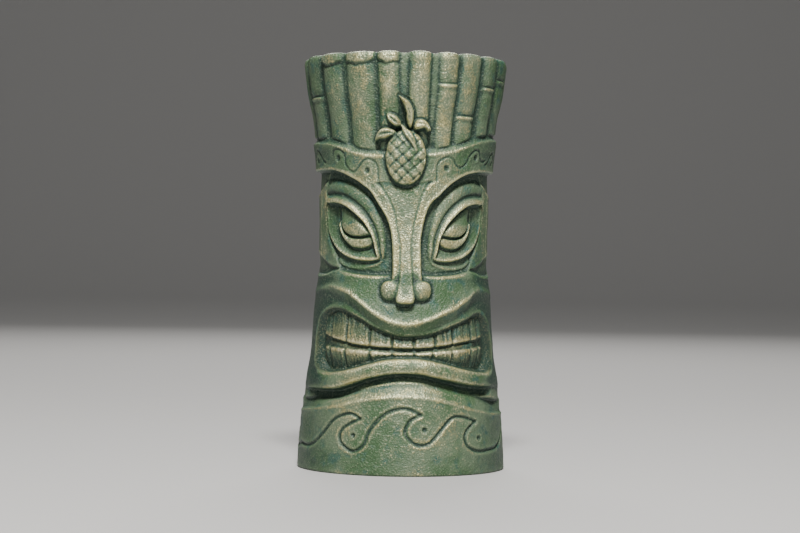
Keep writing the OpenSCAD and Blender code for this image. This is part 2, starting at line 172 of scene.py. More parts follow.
@dataclass
class Lattice:
    """The directions and heights at which the relief is held, and the sizes of the rim above it.

    The columns stand closer together over the face than round the back.
    """

    seam_deg: float = -99.25
    fine_to_deg: float = 101.45
    fine_deg: float = 0.57
    coarse_deg: float = 0.9
    foot_rows: tuple[float, ...] = (0.0, 0.12, 0.3, 0.55, 0.85, 1.2)
    first_row: float = 1.6
    row_mm: float = 0.4
    rim_foot: float = 174.8
    rim_rows: int = 24
    rim_middle: float = 40.2
    lip_radius: float = 37.9
    lip_height: float = 2.1
    lip_rows: int = 10
    lip_depth: float = 9.0

    def __post_init__(self) -> None:
        """Works out the columns and rows."""
        fine = np.arange(self.seam_deg, self.fine_to_deg - 0.01, self.fine_deg)
        coarse = np.arange(self.fine_to_deg, self.seam_deg + 360 - 0.01, self.coarse_deg)
        turn = np.concatenate([fine, coarse])
        self.direction = np.radians(np.where(turn > 180, turn - 360, turn))
        even = np.arange(self.first_row, self.rim_foot - 0.05, self.row_mm)
        self.height = np.concatenate([self.foot_rows, even, [self.rim_foot]])
        self.columns = len(self.direction)


class Relief:
    """The mug's outside as a radius over the lattice, with the tools that model it.

    Beside the radius it keeps how much more or less wax lies at each place, with painted shade added to it where the
    surface faces down, lies under an overhang or turns to the sides, how squarely each place faces forwards (ahead),
    how far inside the front of the head it is (front), and what each piece claims.
    """

    def __init__(self, lattice: Lattice) -> None:
        """Lays the relief out flat over the lattice, ready to model."""
        self.lattice = lattice
        self.a_line = lattice.direction * UNROLL_RADIUS
        self.z_line = lattice.height
        self.a, self.z = np.meshgrid(self.a_line, self.z_line)
        self.ahead = np.clip(np.cos(lattice.direction), 0.0, 1.0)[None, :] * np.ones_like(self.z)
        self.front = FACE_HALF_TURN * UNROLL_RADIUS - np.abs(self.a)
        self.radius = np.zeros_like(self.z)
        self.wax_and_shade = np.zeros_like(self.z)
        self.claims: dict[str, Field] = {}

    def along_height(self, profile: Points) -> Field:
        """The radius that a side profile of (height, radius) points gives at every place."""
        line = smooth(profile)
        return np.interp(self.z, line[:, 0], line[:, 1])

    def height_of(self, curve: Points) -> Field:
        """The height of a curve that runs round the mug, at every place."""
        line = smooth(curve)
        return np.interp(self.a, line[:, 0], line[:, 1])

    def measure(self, line: np.ndarray, margin: float) -> tuple[slice, slice, Field, Field]:
        """Measures from every place near a line.

        Args:
            line: the line's points.
            margin: how far from it is still near.

        Returns:
            The rows and columns of the window that was measured, the distance to the line over it, and whether
            each place is within the line where it closes.
        """
        near = [(axis > line[:, i].min() - margin) & (axis < line[:, i].max() + margin)
                for i, axis in enumerate((self.a_line, self.z_line))]
        columns, rows = (slice(at[0], at[-1] + 1) for at in (np.nonzero(n)[0] for n in near))
        a, z = self.a[rows, columns], self.z[rows, columns]
        square_best = np.full(a.shape, 1e9)
        within = np.zeros(a.shape, bool)
        for (a0, z0), (a1, z1) in zip(line[:-1], line[1:], strict=True):
            da, dz = a1 - a0, z1 - z0
            square = da * da + dz * dz
            if square < 1e-12:
                continue
            t = np.clip(((a - a0) * da + (z - z0) * dz) / square, 0.0, 1.0)
            square_best = np.minimum(square_best, (a - a0 - t * da) ** 2 + (z - z0 - t * dz) ** 2)
            if abs(dz) > 1e-9:
                within ^= ((z0 > z) != (z1 > z)) & (a < da * (z - z0) / dz + a0)
        return rows, columns, np.sqrt(square_best), within

    def within(self, outline: Points, margin: float = 4.0) -> Field:
        """Distance inside a closed outline at every place, negative outside it.

        Args:
            outline: the outline's few points.
            margin: how far outside it the distance is still worked out.

        Returns:
            The signed distance in millimetres.
        """
        line = smooth(outline, closed=True)
        rows, columns, distance, inside = self.measure(np.concatenate([line, line[:1]]), margin)
        signed = np.full(self.z.shape, -2.0 * margin)
        signed[rows, columns] = np.where(inside, distance, -distance)
        return signed

    def from_line(self, curve: Points, margin: float = 4.0) -> Field:
        """Distance from an open curve at every place, also where it runs on across the back.

        Args:
            curve: the curve's few points.
            margin: how far from it the distance is still worked out.

        Returns:
            The distance in millimetres, large beyond the margin.
        """
        line = smooth(curve)
        nearest = np.full(self.z.shape, 99.0)
        for moved in (0.0, -ROUND_MUG):
            copy = line + [moved, 0.0]
            if copy[:, 0].min() - margin < self.a_line.max() and copy[:, 0].max() + margin > self.a_line.min():
                rows, columns, distance, _ = self.measure(copy, margin)
                nearest[rows, columns] = np.minimum(nearest[rows, columns], distance)
        return nearest

    def put(self, level: Field | float, weight: Field) -> None:
        """Brings the surface to a level where the weight is 1, and part of the way where it is less."""
        self.radius += (level - self.radius) * np.clip(weight, 0.0, 1.0)

    def cut(self, curve: Points, depth: float, width: float) -> None:
        """Cuts a round-bottomed line with slightly raised lips.

        Args:
            curve: where it runs.
            depth: how deep it is.
            width: how wide it is at half its depth.
        """
        distance = self.from_line(curve, margin=width * 3)
        self.radius -= depth * bell(distance, 0.6 * width)
        self.radius += 0.16 * depth * bell(distance - 1.25 * width, 0.5 * width)

    def stud(self, centre: tuple[float, float], size: float) -> None:
        """Punches a small round hole with a raised rim.

        Args:
            centre: its place on the wall.
            size: the hole's radius.
        """
        across = (self.a - centre[0] + ROUND_MUG / 2) % ROUND_MUG - ROUND_MUG / 2
        distance = np.hypot(across, self.z - centre[1])
        self.radius -= 0.6 * soft_step((size + 0.25 - distance) / 0.5)
        self.radius += 0.2 * bell(distance - 1.55 * size, 0.45)

    def uneven(self, pitch: float, seed: int, stretch: float = 1.0) -> Field:
        """Hand-made unevenness between -1 and 1, the same on every run.

        Args:
            pitch: the usual distance between one rise and the next.
            seed: which unevenness it is.
            stretch: how many times longer its rises are upright than across.

        Returns:
            Its value at every place.
        """
        across = max(4, round(ROUND_MUG / pitch))
        up = int(MUG_HEIGHT / (pitch * stretch)) + 3
        knots = np.random.default_rng(seed).uniform(-1, 1, (up, across))
        x, y = (self.a / ROUND_MUG + 0.5) * across, self.z / (pitch * stretch)
        i, j = np.floor(x).astype(int), np.floor(y).astype(int)
        part_across, part_up = soft_step(x - i), soft_step(y - j)
        i_next, j_next = (i + 1) % across, np.minimum(j + 1, up - 1)
        low, high = (knots[row, i % across] * (1 - part_across) + knots[row, i_next] * part_across
                     for row in (j, j_next))
        return low * (1 - part_up) + high * part_up


# ---------------------------------------------------------------- the sub-assemblies


@dataclass
class Part:
    """A sub-assembly, which models its share of the relief and then claims its pieces of it."""

    relief: Relief


@dataclass
class Foot(Part):
    """The flared foot band with its cut waves, the sloping chin step above it and the plain back."""

    side: Points = (
        (0, 45.3), (11, 44.6), (19, 43.8), (27, 42.9), (31, 42.3), (38.6, 41.6), (50, 39.8), (58, 39.2), (66, 38.7),
        (71, 38.3), (76.6, 37.7), (80, 37.1), (84, 36.8), (96, 36.7), (110, 36.9), (124, 37.2), (130, 37.6),
        (178, 38.0))
    band: Points = ((0, 45.3), (11, 44.6), (19, 43.9), (27, 43.4), (34, 43.1), (60, 43.1))
    chin: Points = (
        (-126, 24.8), (-70, 24.8), (-46.5, 26.1), (-30.4, 28.1), (-22.9, 29.9), (-16.2, 31.6), (-10, 32.5), (-4, 33.1),
        (4.8, 33.1), (10.8, 32.4), (20.7, 30.1), (28.2, 27.9), (37.6, 26), (46.6, 25), (70, 24.6), (126, 24.8))
    step_top: Points = (
        (-126, 30), (-60, 30), (-47, 30.8), (-33, 32.9), (-17.9, 35.2), (-4.5, 37.6), (5.2, 37.8), (15.4, 36.7),
        (31.7, 33.3), (44.1, 31), (60, 30), (126, 30))
    step_radius: float = 43.0
    step_fall: float = 2.9
    step_lip: float = 0.32
    foot_rounding: float = 1.1
    line_width: float = 1.0
    line_depth: float = 0.85
    waves: tuple[Points, ...] = (
        ((-53.2, 11.2), (-46, 10.7), (-40.1, 12.2), (-34.6, 16.8), (-29, 22.8), (-22.3, 25.5), (-19.3, 24.8),
         (-16.9, 23.6)),
        ((-17.6, 23.3), (-22.3, 20.8), (-25.2, 18.2), (-25.8, 15), (-24.3, 12.4), (-19.5, 9.9), (-15.2, 12.8),
         (-13.1, 18.5), (-8, 25), (-2.7, 27.7), (1.7, 28), (6.9, 25.6)),
        ((6.2, 25.3), (2.6, 23), (0.8, 18.8), (2.2, 15.4), (5.9, 13), (10, 13.7), (13.6, 17.5), (18.5, 23.2),
         (21.8, 24.7), (26, 24.2), (31.6, 22.4)),
        ((30.9, 22), (26.7, 18.7), (25.6, 15.2), (27.3, 11.8), (32.4, 9.8), (39.8, 10), (46.2, 10.9), (52, 14.2),
         (57, 19.4), (62, 23.6), (66.5, 24.8), (71, 24.2), (76, 22.4)))
    dots: Points = ((-19.7, 16.5), (8.3, 19.4), (33, 15.3))
    back_wave: Points = (
        (-0.7, 22), (-4.9, 18.7), (-6, 15.2), (-4.3, 11.8), (0.8, 9.9), (6.4, 11.6), (10.6, 16.4), (15, 21.6),
        (19.5, 24.4), (24, 24.2), (28.5, 22.4))
    last_wave: Points = (
        (-0.7, 22), (-4.9, 18.7), (-6, 15.2), (-4.3, 11.8), (0.8, 9.8), (8.1, 11.2))
    dot_size: float = 0.95
    back_dot: tuple[float, float] = (1.8, 15.6)
    first_back_tip: float = 76.0
    back_waves: int = 4

    def __post_init__(self) -> None:
        """Works out the heights of the chin step's foot and top."""
        self.chin_height = self.relief.height_of(self.chin)
        self.step_height = self.relief.height_of(self.step_top)

    def shape(self) -> None:
        """Models the plain sides, the foot band and the chin step."""
        relief, chin, top = self.relief, self.chin_height, self.step_height
        relief.radius = relief.along_height(self.side)
        in_front = soft_step((62 - np.abs(relief.a)) / 16)
        up_step = np.clip((relief.z - chin) / np.maximum(top - chin, 0.5), 0, 1)
        relief.put(relief.along_height(self.band), soft_step((chin - relief.z) / 0.9 + 0.6))
        relief.put(self.step_radius - self.step_fall * in_front * up_step,
                   soft_step((relief.z - chin) / 0.9 + 0.4) * soft_step((top + 1.2 - relief.z) / 1.2))
        relief.radius += self.step_lip * bell(relief.z - chin, 0.75)
        # Darker on the foot band, and darker still towards the bottom.
        relief.wax_and_shade -= 0.04 * (relief.z < chin) + 0.05 * soft_step((12 - relief.z) / 5)
        rounding = np.clip(1.0 - relief.z / self.foot_rounding, 0, 1)
        relief.radius -= 1.0 * (1 - np.sqrt(1 - rounding**2))

    def cut_waves(self) -> None:
        """Cuts the waves in front and the same kind of wave again and again round the back."""
        for wave in self.waves:
            self.relief.cut(wave, self.line_depth, self.line_width)
        for dot in self.dots:
            self.relief.stud(dot, self.dot_size)
        pitch = self.back_wave[-1][0]
        for turn in range(self.back_waves + 1):
            tip = self.first_back_tip + pitch * turn
            wave = self.back_wave if turn < self.back_waves else self.last_wave
            self.relief.cut(tuple((a + tip, z) for a, z in wave), self.line_depth, self.line_width)
            self.relief.stud((tip + self.back_dot[0], self.back_dot[1]), self.dot_size)

    def claim(self) -> None:
        """Claims everything at first for the back panel, then the foot band and the chin step."""
        relief, chin = self.relief, self.chin_height
        relief.claims["back_panel"] = np.ones_like(relief.a)
        relief.claims["wave_band"] = chin - relief.z
        relief.claims["chin_step"] = np.minimum(relief.z - chin, self.step_height - relief.z)


@dataclass
class Jaw(Part):
    """The lower lip and the deep line over the chin, the muzzle with the upper lip, and the mouth between them."""

    jaw_foot: Points = (
        (-126, 34.6), (-60, 34.6), (-47.2, 34.8), (-31.7, 35.3), (-23.7, 37.2), (-16.8, 39.6), (-10.5, 41.3),
        (-4.3, 42.3), (1.7, 42.5), (7.9, 42), (14.3, 40.5), (21.2, 39.1), (29, 37.6), (39.1, 36.7), (50, 36.2),
        (60, 35), (126, 34.6))
    crest: Points = (
        (-126, 76), (-62, 76.5), (-42, 78), (-36, 78.9), (-30.9, 78.1), (-26.1, 76.9), (-22.4, 75.1), (-19, 72.8),
        (-15.7, 70.5), (-12.5, 68.2), (-9.4, 66.2), (-6.4, 64.7), (-2.8, 63.6), (0.8, 63.2), (4.4, 63.6), (8.4, 64.8),
        (13.3, 66.8), (16.5, 68.4), (21.6, 70.4), (25.3, 72.6), (29.2, 74.4), (33, 77), (37.5, 78.2), (44, 77.5),
        (62, 76), (126, 76))
    mouth: Points = (
        (-47.6, 50), (-46.6, 46.4), (-42.2, 43), (-35.3, 42.2), (-28.2, 42.8), (-20.6, 44.5), (-13.9, 46.5),
        (-7.5, 48.1), (0, 48.6), (6.9, 48.5), (15.6, 46.9), (25.4, 44.5), (34.4, 42.9), (43.5, 42.6), (49, 45.8),
        (51, 52), (49.5, 58.5), (46, 64), (40.5, 67.7), (35.7, 68), (30.6, 66), (22.4, 63.2), (15.4, 60.8),
        (8.4, 58.9), (0.6, 58.3), (-3.6, 58.8), (-7.7, 60), (-13.3, 62.3), (-18.7, 65.3), (-24.1, 67.7),
        (-29.9, 69.5), (-36.2, 69.4), (-42.2, 67.2), (-45.9, 63.2), (-48, 57))
    cheek_top: Points = (
        (-126, 84), (-66, 84), (-52, 83.2), (-44, 83.6), (-38, 85), (-33, 85.5), (-29.2, 85), (-22.5, 84),
        (-12.8, 83.4), (0, 83), (14, 83.4), (22.5, 84), (29.2, 85), (33, 85.5), (38, 85), (44, 83.6), (52, 83.2),
        (66, 84), (126, 84))
    hollow: float = 37.5
    chin_line: float = 38.2
    lip_split: float = 51.0
    crest_ridge: float = 0.28
    mouth_edge: float = 0.26

    def __post_init__(self) -> None:
        """Works out how far inside the mouth each place is, and the heights of the jaw's foot, crest and cheeks."""
        relief = self.relief
        self.mouth_depth = relief.within(self.mouth)
        self.foot_height, self.crest_height = relief.height_of(self.jaw_foot), relief.height_of(self.crest)
        self.cheek_height = relief.height_of(self.cheek_top)

    def shape(self) -> None:
        """Models the jaw, the muzzle, the line over the chin and the hollow of the mouth."""
        relief, foot = self.relief, self.foot_height
        above = relief.z - self.crest_height
        swell = np.where(above > 0, 2.5 + 2.0 * np.exp(-above / 4.2) - 1.0 * soft_step((above - 9) / 12),
                         1.3 + 3.2 * np.clip(1 + above / 5.4, 0, 1) ** 1.2)
        plain = relief.radius.copy()
        cheek = plain + swell * relief.ahead * soft_step((88 - relief.z) / 5) + 0.1
        up_jaw = np.clip((relief.z - foot) / 8.0, 0, 1)
        jaw = plain + relief.ahead * (0.9 + 1.7 * np.sin(math.pi * np.clip(up_jaw * 0.85 + 0.12, 0, 1)))
        low = soft_step((52.5 - relief.z) / 7)
        relief.put(cheek * (1 - low) + jaw * low, soft_step((relief.z - foot) / 1.1 + 0.35)
                   * soft_step((90 - relief.z) / 4))
        relief.radius += self.crest_ridge * bell(above, 0.7) * soft_step((42 - np.abs(relief.a)) / 10)
        self.cut_chin_line()
        from_middle = np.abs(relief.a - 1)
        edge = bell(self.mouth_depth + 0.6, 0.6) * soft_step((from_middle - 30) / 12)
        relief.radius += self.mouth_edge * edge
        slope = 1.5 + 3.6 * soft_step((np.abs(relief.a - 1.2) - 38.5) / 6)
        relief.put(self.hollow, soft_step((self.mouth_depth + 0.25) / slope))
        relief.wax_and_shade += 0.26 * edge
        self.paint_jaw_shade(above, from_middle)

    def paint_jaw_shade(self, above: Field, from_middle: Field) -> None:
        """Paints shade, as less wax and darker colour, where the upper lip faces down under the muzzle's crest, under
        the cheeks' top and where the lips and cheeks turn to the sides; the lower lip and the muzzle over its crest
        are made a little darker too.

        Args:
            above: height over the muzzle's crest.
            from_middle: distance to either side of the middle of the mouth.
        """
        z, foot, top = self.relief.z, self.foot_height, self.cheek_height
        # Painted shade under the crest, under the cheeks' top and towards the sides; the lower lip and the muzzle over
        # the crest are simply darker.
        below_crest = soft_step((-1.2 - above) / 2) * soft_step((above + 16) / 3) * soft_step((z - 52) / 6)
        to_side = soft_step((from_middle - 22) / 22)
        less = 0.11 * below_crest + 0.10 * to_side * soft_step((self.crest_height + 9 - z) / 6) * (z > foot)
        less += 0.16 * soft_step((z - top + 4.5) / 4) * soft_step((top + 2.5 - z) / 2)
        less += 0.15 * (z > foot) * soft_step((50 - z) / 4)
        less += 0.08 * soft_step((above - 0.8) / 2) * soft_step((top - z) / 2)
        less += 0.08 * soft_step((from_middle - 36) / 8) * (z > foot) * (z < self.crest_height)
        self.relief.wax_and_shade -= less * soft_step((66 - np.abs(self.relief.a)) / 16)

    def cut_chin_line(self) -> None:
        """Undercuts the jaw with the deep line that shallows out to the chin step and fades round the sides."""
        in_front = soft_step((self.relief.a + 52) / 7) * soft_step((46 - self.relief.a) / 7)
        below = self.foot_height - self.relief.z
        section = soft_step((below + 0.5) / 1.1) * soft_step((5.4 - below) / 2.4)
        self.relief.put(self.chin_line + 0.40 * np.clip(below, 0, 6), in_front * section)

    def claim(self, step_height: Field) -> None:
        """Claims the jaw, the muzzle and the wall seen in the chin line.

        Args:
            step_height: the height of the chin step's top.
        """
        relief, foot = self.relief, self.foot_height
        over_foot = np.minimum(relief.z - foot, relief.front)
        relief.claims["muzzle"] = np.minimum(over_foot, self.cheek_height - relief.z)
        relief.claims["lower_lip"] = np.minimum(over_foot, self.lip_split - relief.z)
        relief.claims["wall_chin_line"] = np.minimum(np.minimum(foot - relief.z, relief.front),
                                                     relief.z - step_height)


@dataclass
class Teeth(Part):
    """Two rows of blunt, fluted teeth that run back under the lips."""

    mouth_depth: Field
    upper_foot: Points = (
        (-60, 58), (-41.4, 57.9), (-38.5, 57.3), (-30.9, 55.8), (-20.8, 54.2), (-10.3, 53.4), (0, 53), (8.7, 53.2),
        (18.1, 54.2), (27.3, 55.5), (36.7, 56.6), (42, 57.4), (60, 58))
    lower_top: Points = (
        (-60, 53.4), (-41.7, 53.4), (-34, 53), (-21.2, 52.3), (-10.3, 51.7), (0, 51.5), (9.6, 51.7), (19.2, 52.3),
        (28.6, 52.9), (37.6, 53.6), (42, 53.9), (60, 53.9))
    upper_top: Points = (
        (-43, 65), (-39, 68), (-31.1, 68.8), (-26, 67.6), (-21, 65.4), (-15, 62.4), (-10.5, 60.6), (-4, 58.8),
        (0, 58.4), (8.6, 59), (18, 62.2), (27.1, 65.4), (36.4, 67.4), (40.5, 66.9), (43.5, 63))
    lower_foot: Points = (
        (-43, 45), (-37.3, 43), (-30.5, 42.6), (-21.1, 44.3), (-10.3, 47.6), (0, 48.6), (9.7, 47.8), (19.3, 45.6),
        (28.8, 43.4), (38, 42.8), (43, 45))
    upper_gaps: tuple[float, ...] = (-36.4, -26.9, -15.1, -5.1, 4.3, 13.9, 22.5, 33.0, 38.2)
    lower_gaps: tuple[float, ...] = (-37.5, -27.8, -15.4, -5.1, 4.6, 12.8, 22.5, 33.4, 39.0)
    front: float = 40.0
    half_row: float = 42.2
    ground: float = 37.6
    parting_level: float = 38.3
    gap_depth: float = 1.05
    gap_width: float = 0.62
    flute_pitch: float = 1.45

    def __post_init__(self) -> None:
        """Works out the heights of the two biting edges."""
        self.upper_edge = self.relief.height_of(self.upper_foot)
        self.lower_edge = self.relief.height_of(self.lower_top)

    def shape(self) -> None:
        """Stands both rows up in the hollow of the mouth."""
        relief, upper, lower = self.relief, self.upper_edge, self.lower_edge
        from_end = self.half_row - np.abs(relief.a - 0.4)
        arch = self.front - 1.0 * (np.abs(relief.a) / self.half_row) ** 2.2
        rows = ((relief.z - upper, relief.height_of(self.upper_top) - upper, 1.3, self.upper_gaps, 11),
                (lower - relief.z, lower - relief.height_of(self.lower_foot), 1.7, self.lower_gaps, 12))
        for inside, length, falls_back, gaps, seed in rows:
            far = np.clip(inside / np.maximum(length, 1), 0, 1)
            surface = arch - falls_back * far**1.2
            for gap in gaps:
                surface = surface - self.gap_depth * bell(np.abs(relief.a - gap), self.gap_width)
            surface = surface + (0.34 + 0.5 * far) * self.fluting(seed) + 0.09 * relief.uneven(1.1, seed)
            surface = self.ground + (surface - self.ground) * round_over(inside, 0.9) * round_over(from_end, 2.2)
            here = (inside > 0) & (from_end > 0) & (self.mouth_depth > 0)
            relief.radius = np.where(here, np.maximum(relief.radius, surface), relief.radius)
            # More wax on the biting edges; painted shade where the teeth run back under the lips.
            relief.wax_and_shade += here * (0.16 * bell(inside, 1.8) + 0.03 - 0.12 * far)
        between = soft_step(np.minimum(upper - 0.7 - relief.z, relief.z - lower) / 0.5 + 0.5)
        relief.put(self.parting_level,
                   between * soft_step((self.mouth_depth - 1) / 3) * soft_step((42 - np.abs(relief.a)) / 12))

    def fluting(self, seed: int) -> Field:
        """Upright flutes across the teeth, irregular in spacing and depth.

        Args:
            seed: which row's flutes they are.

        Returns:
            How far they lower the surface, as negative values.
        """
        rng = np.random.default_rng(seed + 40)
        swaying = self.relief.a + 0.25 * np.sin(self.relief.z * 0.9 + seed)
        flutes = np.zeros_like(self.relief.a)
        for place in np.arange(-43, 44, self.flute_pitch):
            centre, depth, width = place + rng.uniform(-0.4, 0.4), rng.uniform(0.25, 1.0), rng.uniform(0.26, 0.42)
            flutes -= depth * bell(swaying - centre, width)
        return flutes

    def claim(self) -> None:
        """Claims the hollow of the mouth for the two rows."""
        parting = (self.upper_edge + self.lower_edge) / 2
        self.relief.claims["upper_teeth"] = np.minimum(self.mouth_depth, self.relief.z - parting)
        self.relief.claims["lower_teeth"] = np.minimum(self.mouth_depth, parting - self.relief.z)


@dataclass
class Nose(Part):
    """The raised strips from the headband down the nose, with the nose's tip and wings."""

    left_edge: Points = (
        (-42, 129), (-38, 128.3), (-31.1, 126.7), (-23.9, 123.8), (-20.5, 121.9), (-16.4, 119), (-12.8, 114.1),
        (-9.2, 108.9), (-7.5, 105.1), (-6.4, 100.9), (-5.8, 96), (-5.5, 89.6), (-5.5, 83), (-5.6, 79.5))
    right_edge: Points = (
        (7.2, 79.5), (7.1, 83), (7.0, 89.6), (6.8, 96), (7.2, 101), (8.4, 107.3), (10.1, 112.2), (12.5, 115.4),
        (15.1, 117.2), (18.1, 120), (21.6, 122.7), (25.5, 124.9), (31, 127), (37, 128), (42, 129))
    left_line: Points = (
        (-12.3, 122.8), (-10, 119.6), (-7.6, 116.1), (-5.9, 112.8), (-4.5, 108.9), (-3.8, 105.1), (-2.7, 99.2),
        (-2.1, 94.4), (-2.1, 88), (-2.4, 83.2), (-2.9, 78.4), (-3.6, 73.4))
    right_line: Points = (
        (10.9, 123.6), (9.1, 121.2), (6.9, 117), (5.6, 112.8), (4.1, 107.6), (3.2, 102.5), (2.6, 97.6), (2.6, 92.8),
        (2.8, 86.3), (3.2, 81.5), (3.4, 78.4), (3.8, 73.4))
    foot: Points = ((-5, 75.4), (5.8, 75.4))
    tip: Points = ((-2.4, 72.1), (0.2, 71.8), (2.7, 72.1))
    level: Points = (
        (60, 44.1), (71, 44.1), (74, 44.0), (78, 43.1), (84, 41.7), (90, 40.8), (98, 40.1), (108, 39.4), (118, 39.0),
        (128, 38.8), (140, 38.8))
    sides_sink: float = 1.5
    left_wing: tuple[float, float, float, float] = (-5.2, 77.3, 5.1, 4.6)
    right_wing: tuple[float, float, float, float] = (6.2, 77.3, 5.1, 4.6)
    wing_base: float = 39.6
    wing_stands: float = 3.7
    line_depth: float = 0.5
    line_width: float = 0.55

    def __post_init__(self) -> None:
        """Works out how far inside the middle strip and inside all three strips each place is."""
        self.middle = self.relief.within(self.left_line + self.tip + self.right_line[::-1], margin=3)
        self.outer = self.relief.within(self.left_edge + self.foot + self.right_edge, margin=5)

    def shape(self) -> None:
        """Models the strips, the nose and its wings."""
        relief, middle, outer = self.relief, self.middle, self.outer
        strip = relief.along_height(self.level)
        side_strip = strip - self.sides_sink * soft_step((86 - relief.z) / 9)
        relief.put(side_strip + 0.22 * bell(outer - 0.6, 0.6), soft_step(outer / 1.0 + 0.5))
        for wing in (self.left_wing, self.right_wing):
            out_from = self.out_from(wing)
            ball = np.sqrt(np.clip(1 - out_from**2.4, 0, 1))
            under = bell(out_from - 1.14, 0.1) * soft_step((80.5 - relief.z) / 2)
            relief.radius -= 0.4 * under * (middle < 0)
            relief.put(np.maximum(relief.radius, self.wing_base + self.wing_stands * ball),
                       soft_step((1.04 - out_from) / 0.1))
        panel = strip + np.interp(relief.z, [76, 90, 104, 116, 122], [0.5, 0.35, 0.0, -0.25, -0.55])
        relief.put(panel, soft_step(middle / 0.7 + 0.5))
        relief.wax_and_shade += 0.03 * soft_step(np.maximum(outer, middle) + 1)
        for line in (self.left_line, self.right_line):
            relief.cut(line, self.line_depth, self.line_width)

    def out_from(self, wing: tuple[float, float, float, float]) -> Field:
        """How far out from a wing's centre each place is, 1 at its squarish edge.

        Args:
            wing: its centre's place, its half width and its half height.

        Returns:
            The share of the way from its centre to its edge.
        """
        a, z, wide, tall = wing
        return (np.abs((self.relief.a - a) / wide) ** 2.5 + np.abs((self.relief.z - z) / tall) ** 2.5) ** 0.4

    def claim(self) -> None:
        """Claims the middle strip, the two side strips and the wings."""
        half = np.where(self.relief.a < 0.4, 1.0, -1.0)
        claims = self.relief.claims
        claims["brow_strip_left"] = np.minimum(self.outer + 0.5, half)
        claims["brow_strip_right"] = np.minimum(self.outer + 0.5, -half)
        claims["nostril_left"] = 1.04 - self.out_from(self.left_wing)
        claims["nostril_right"] = 1.04 - self.out_from(self.right_wing)
        claims["nose_strip"] = self.middle


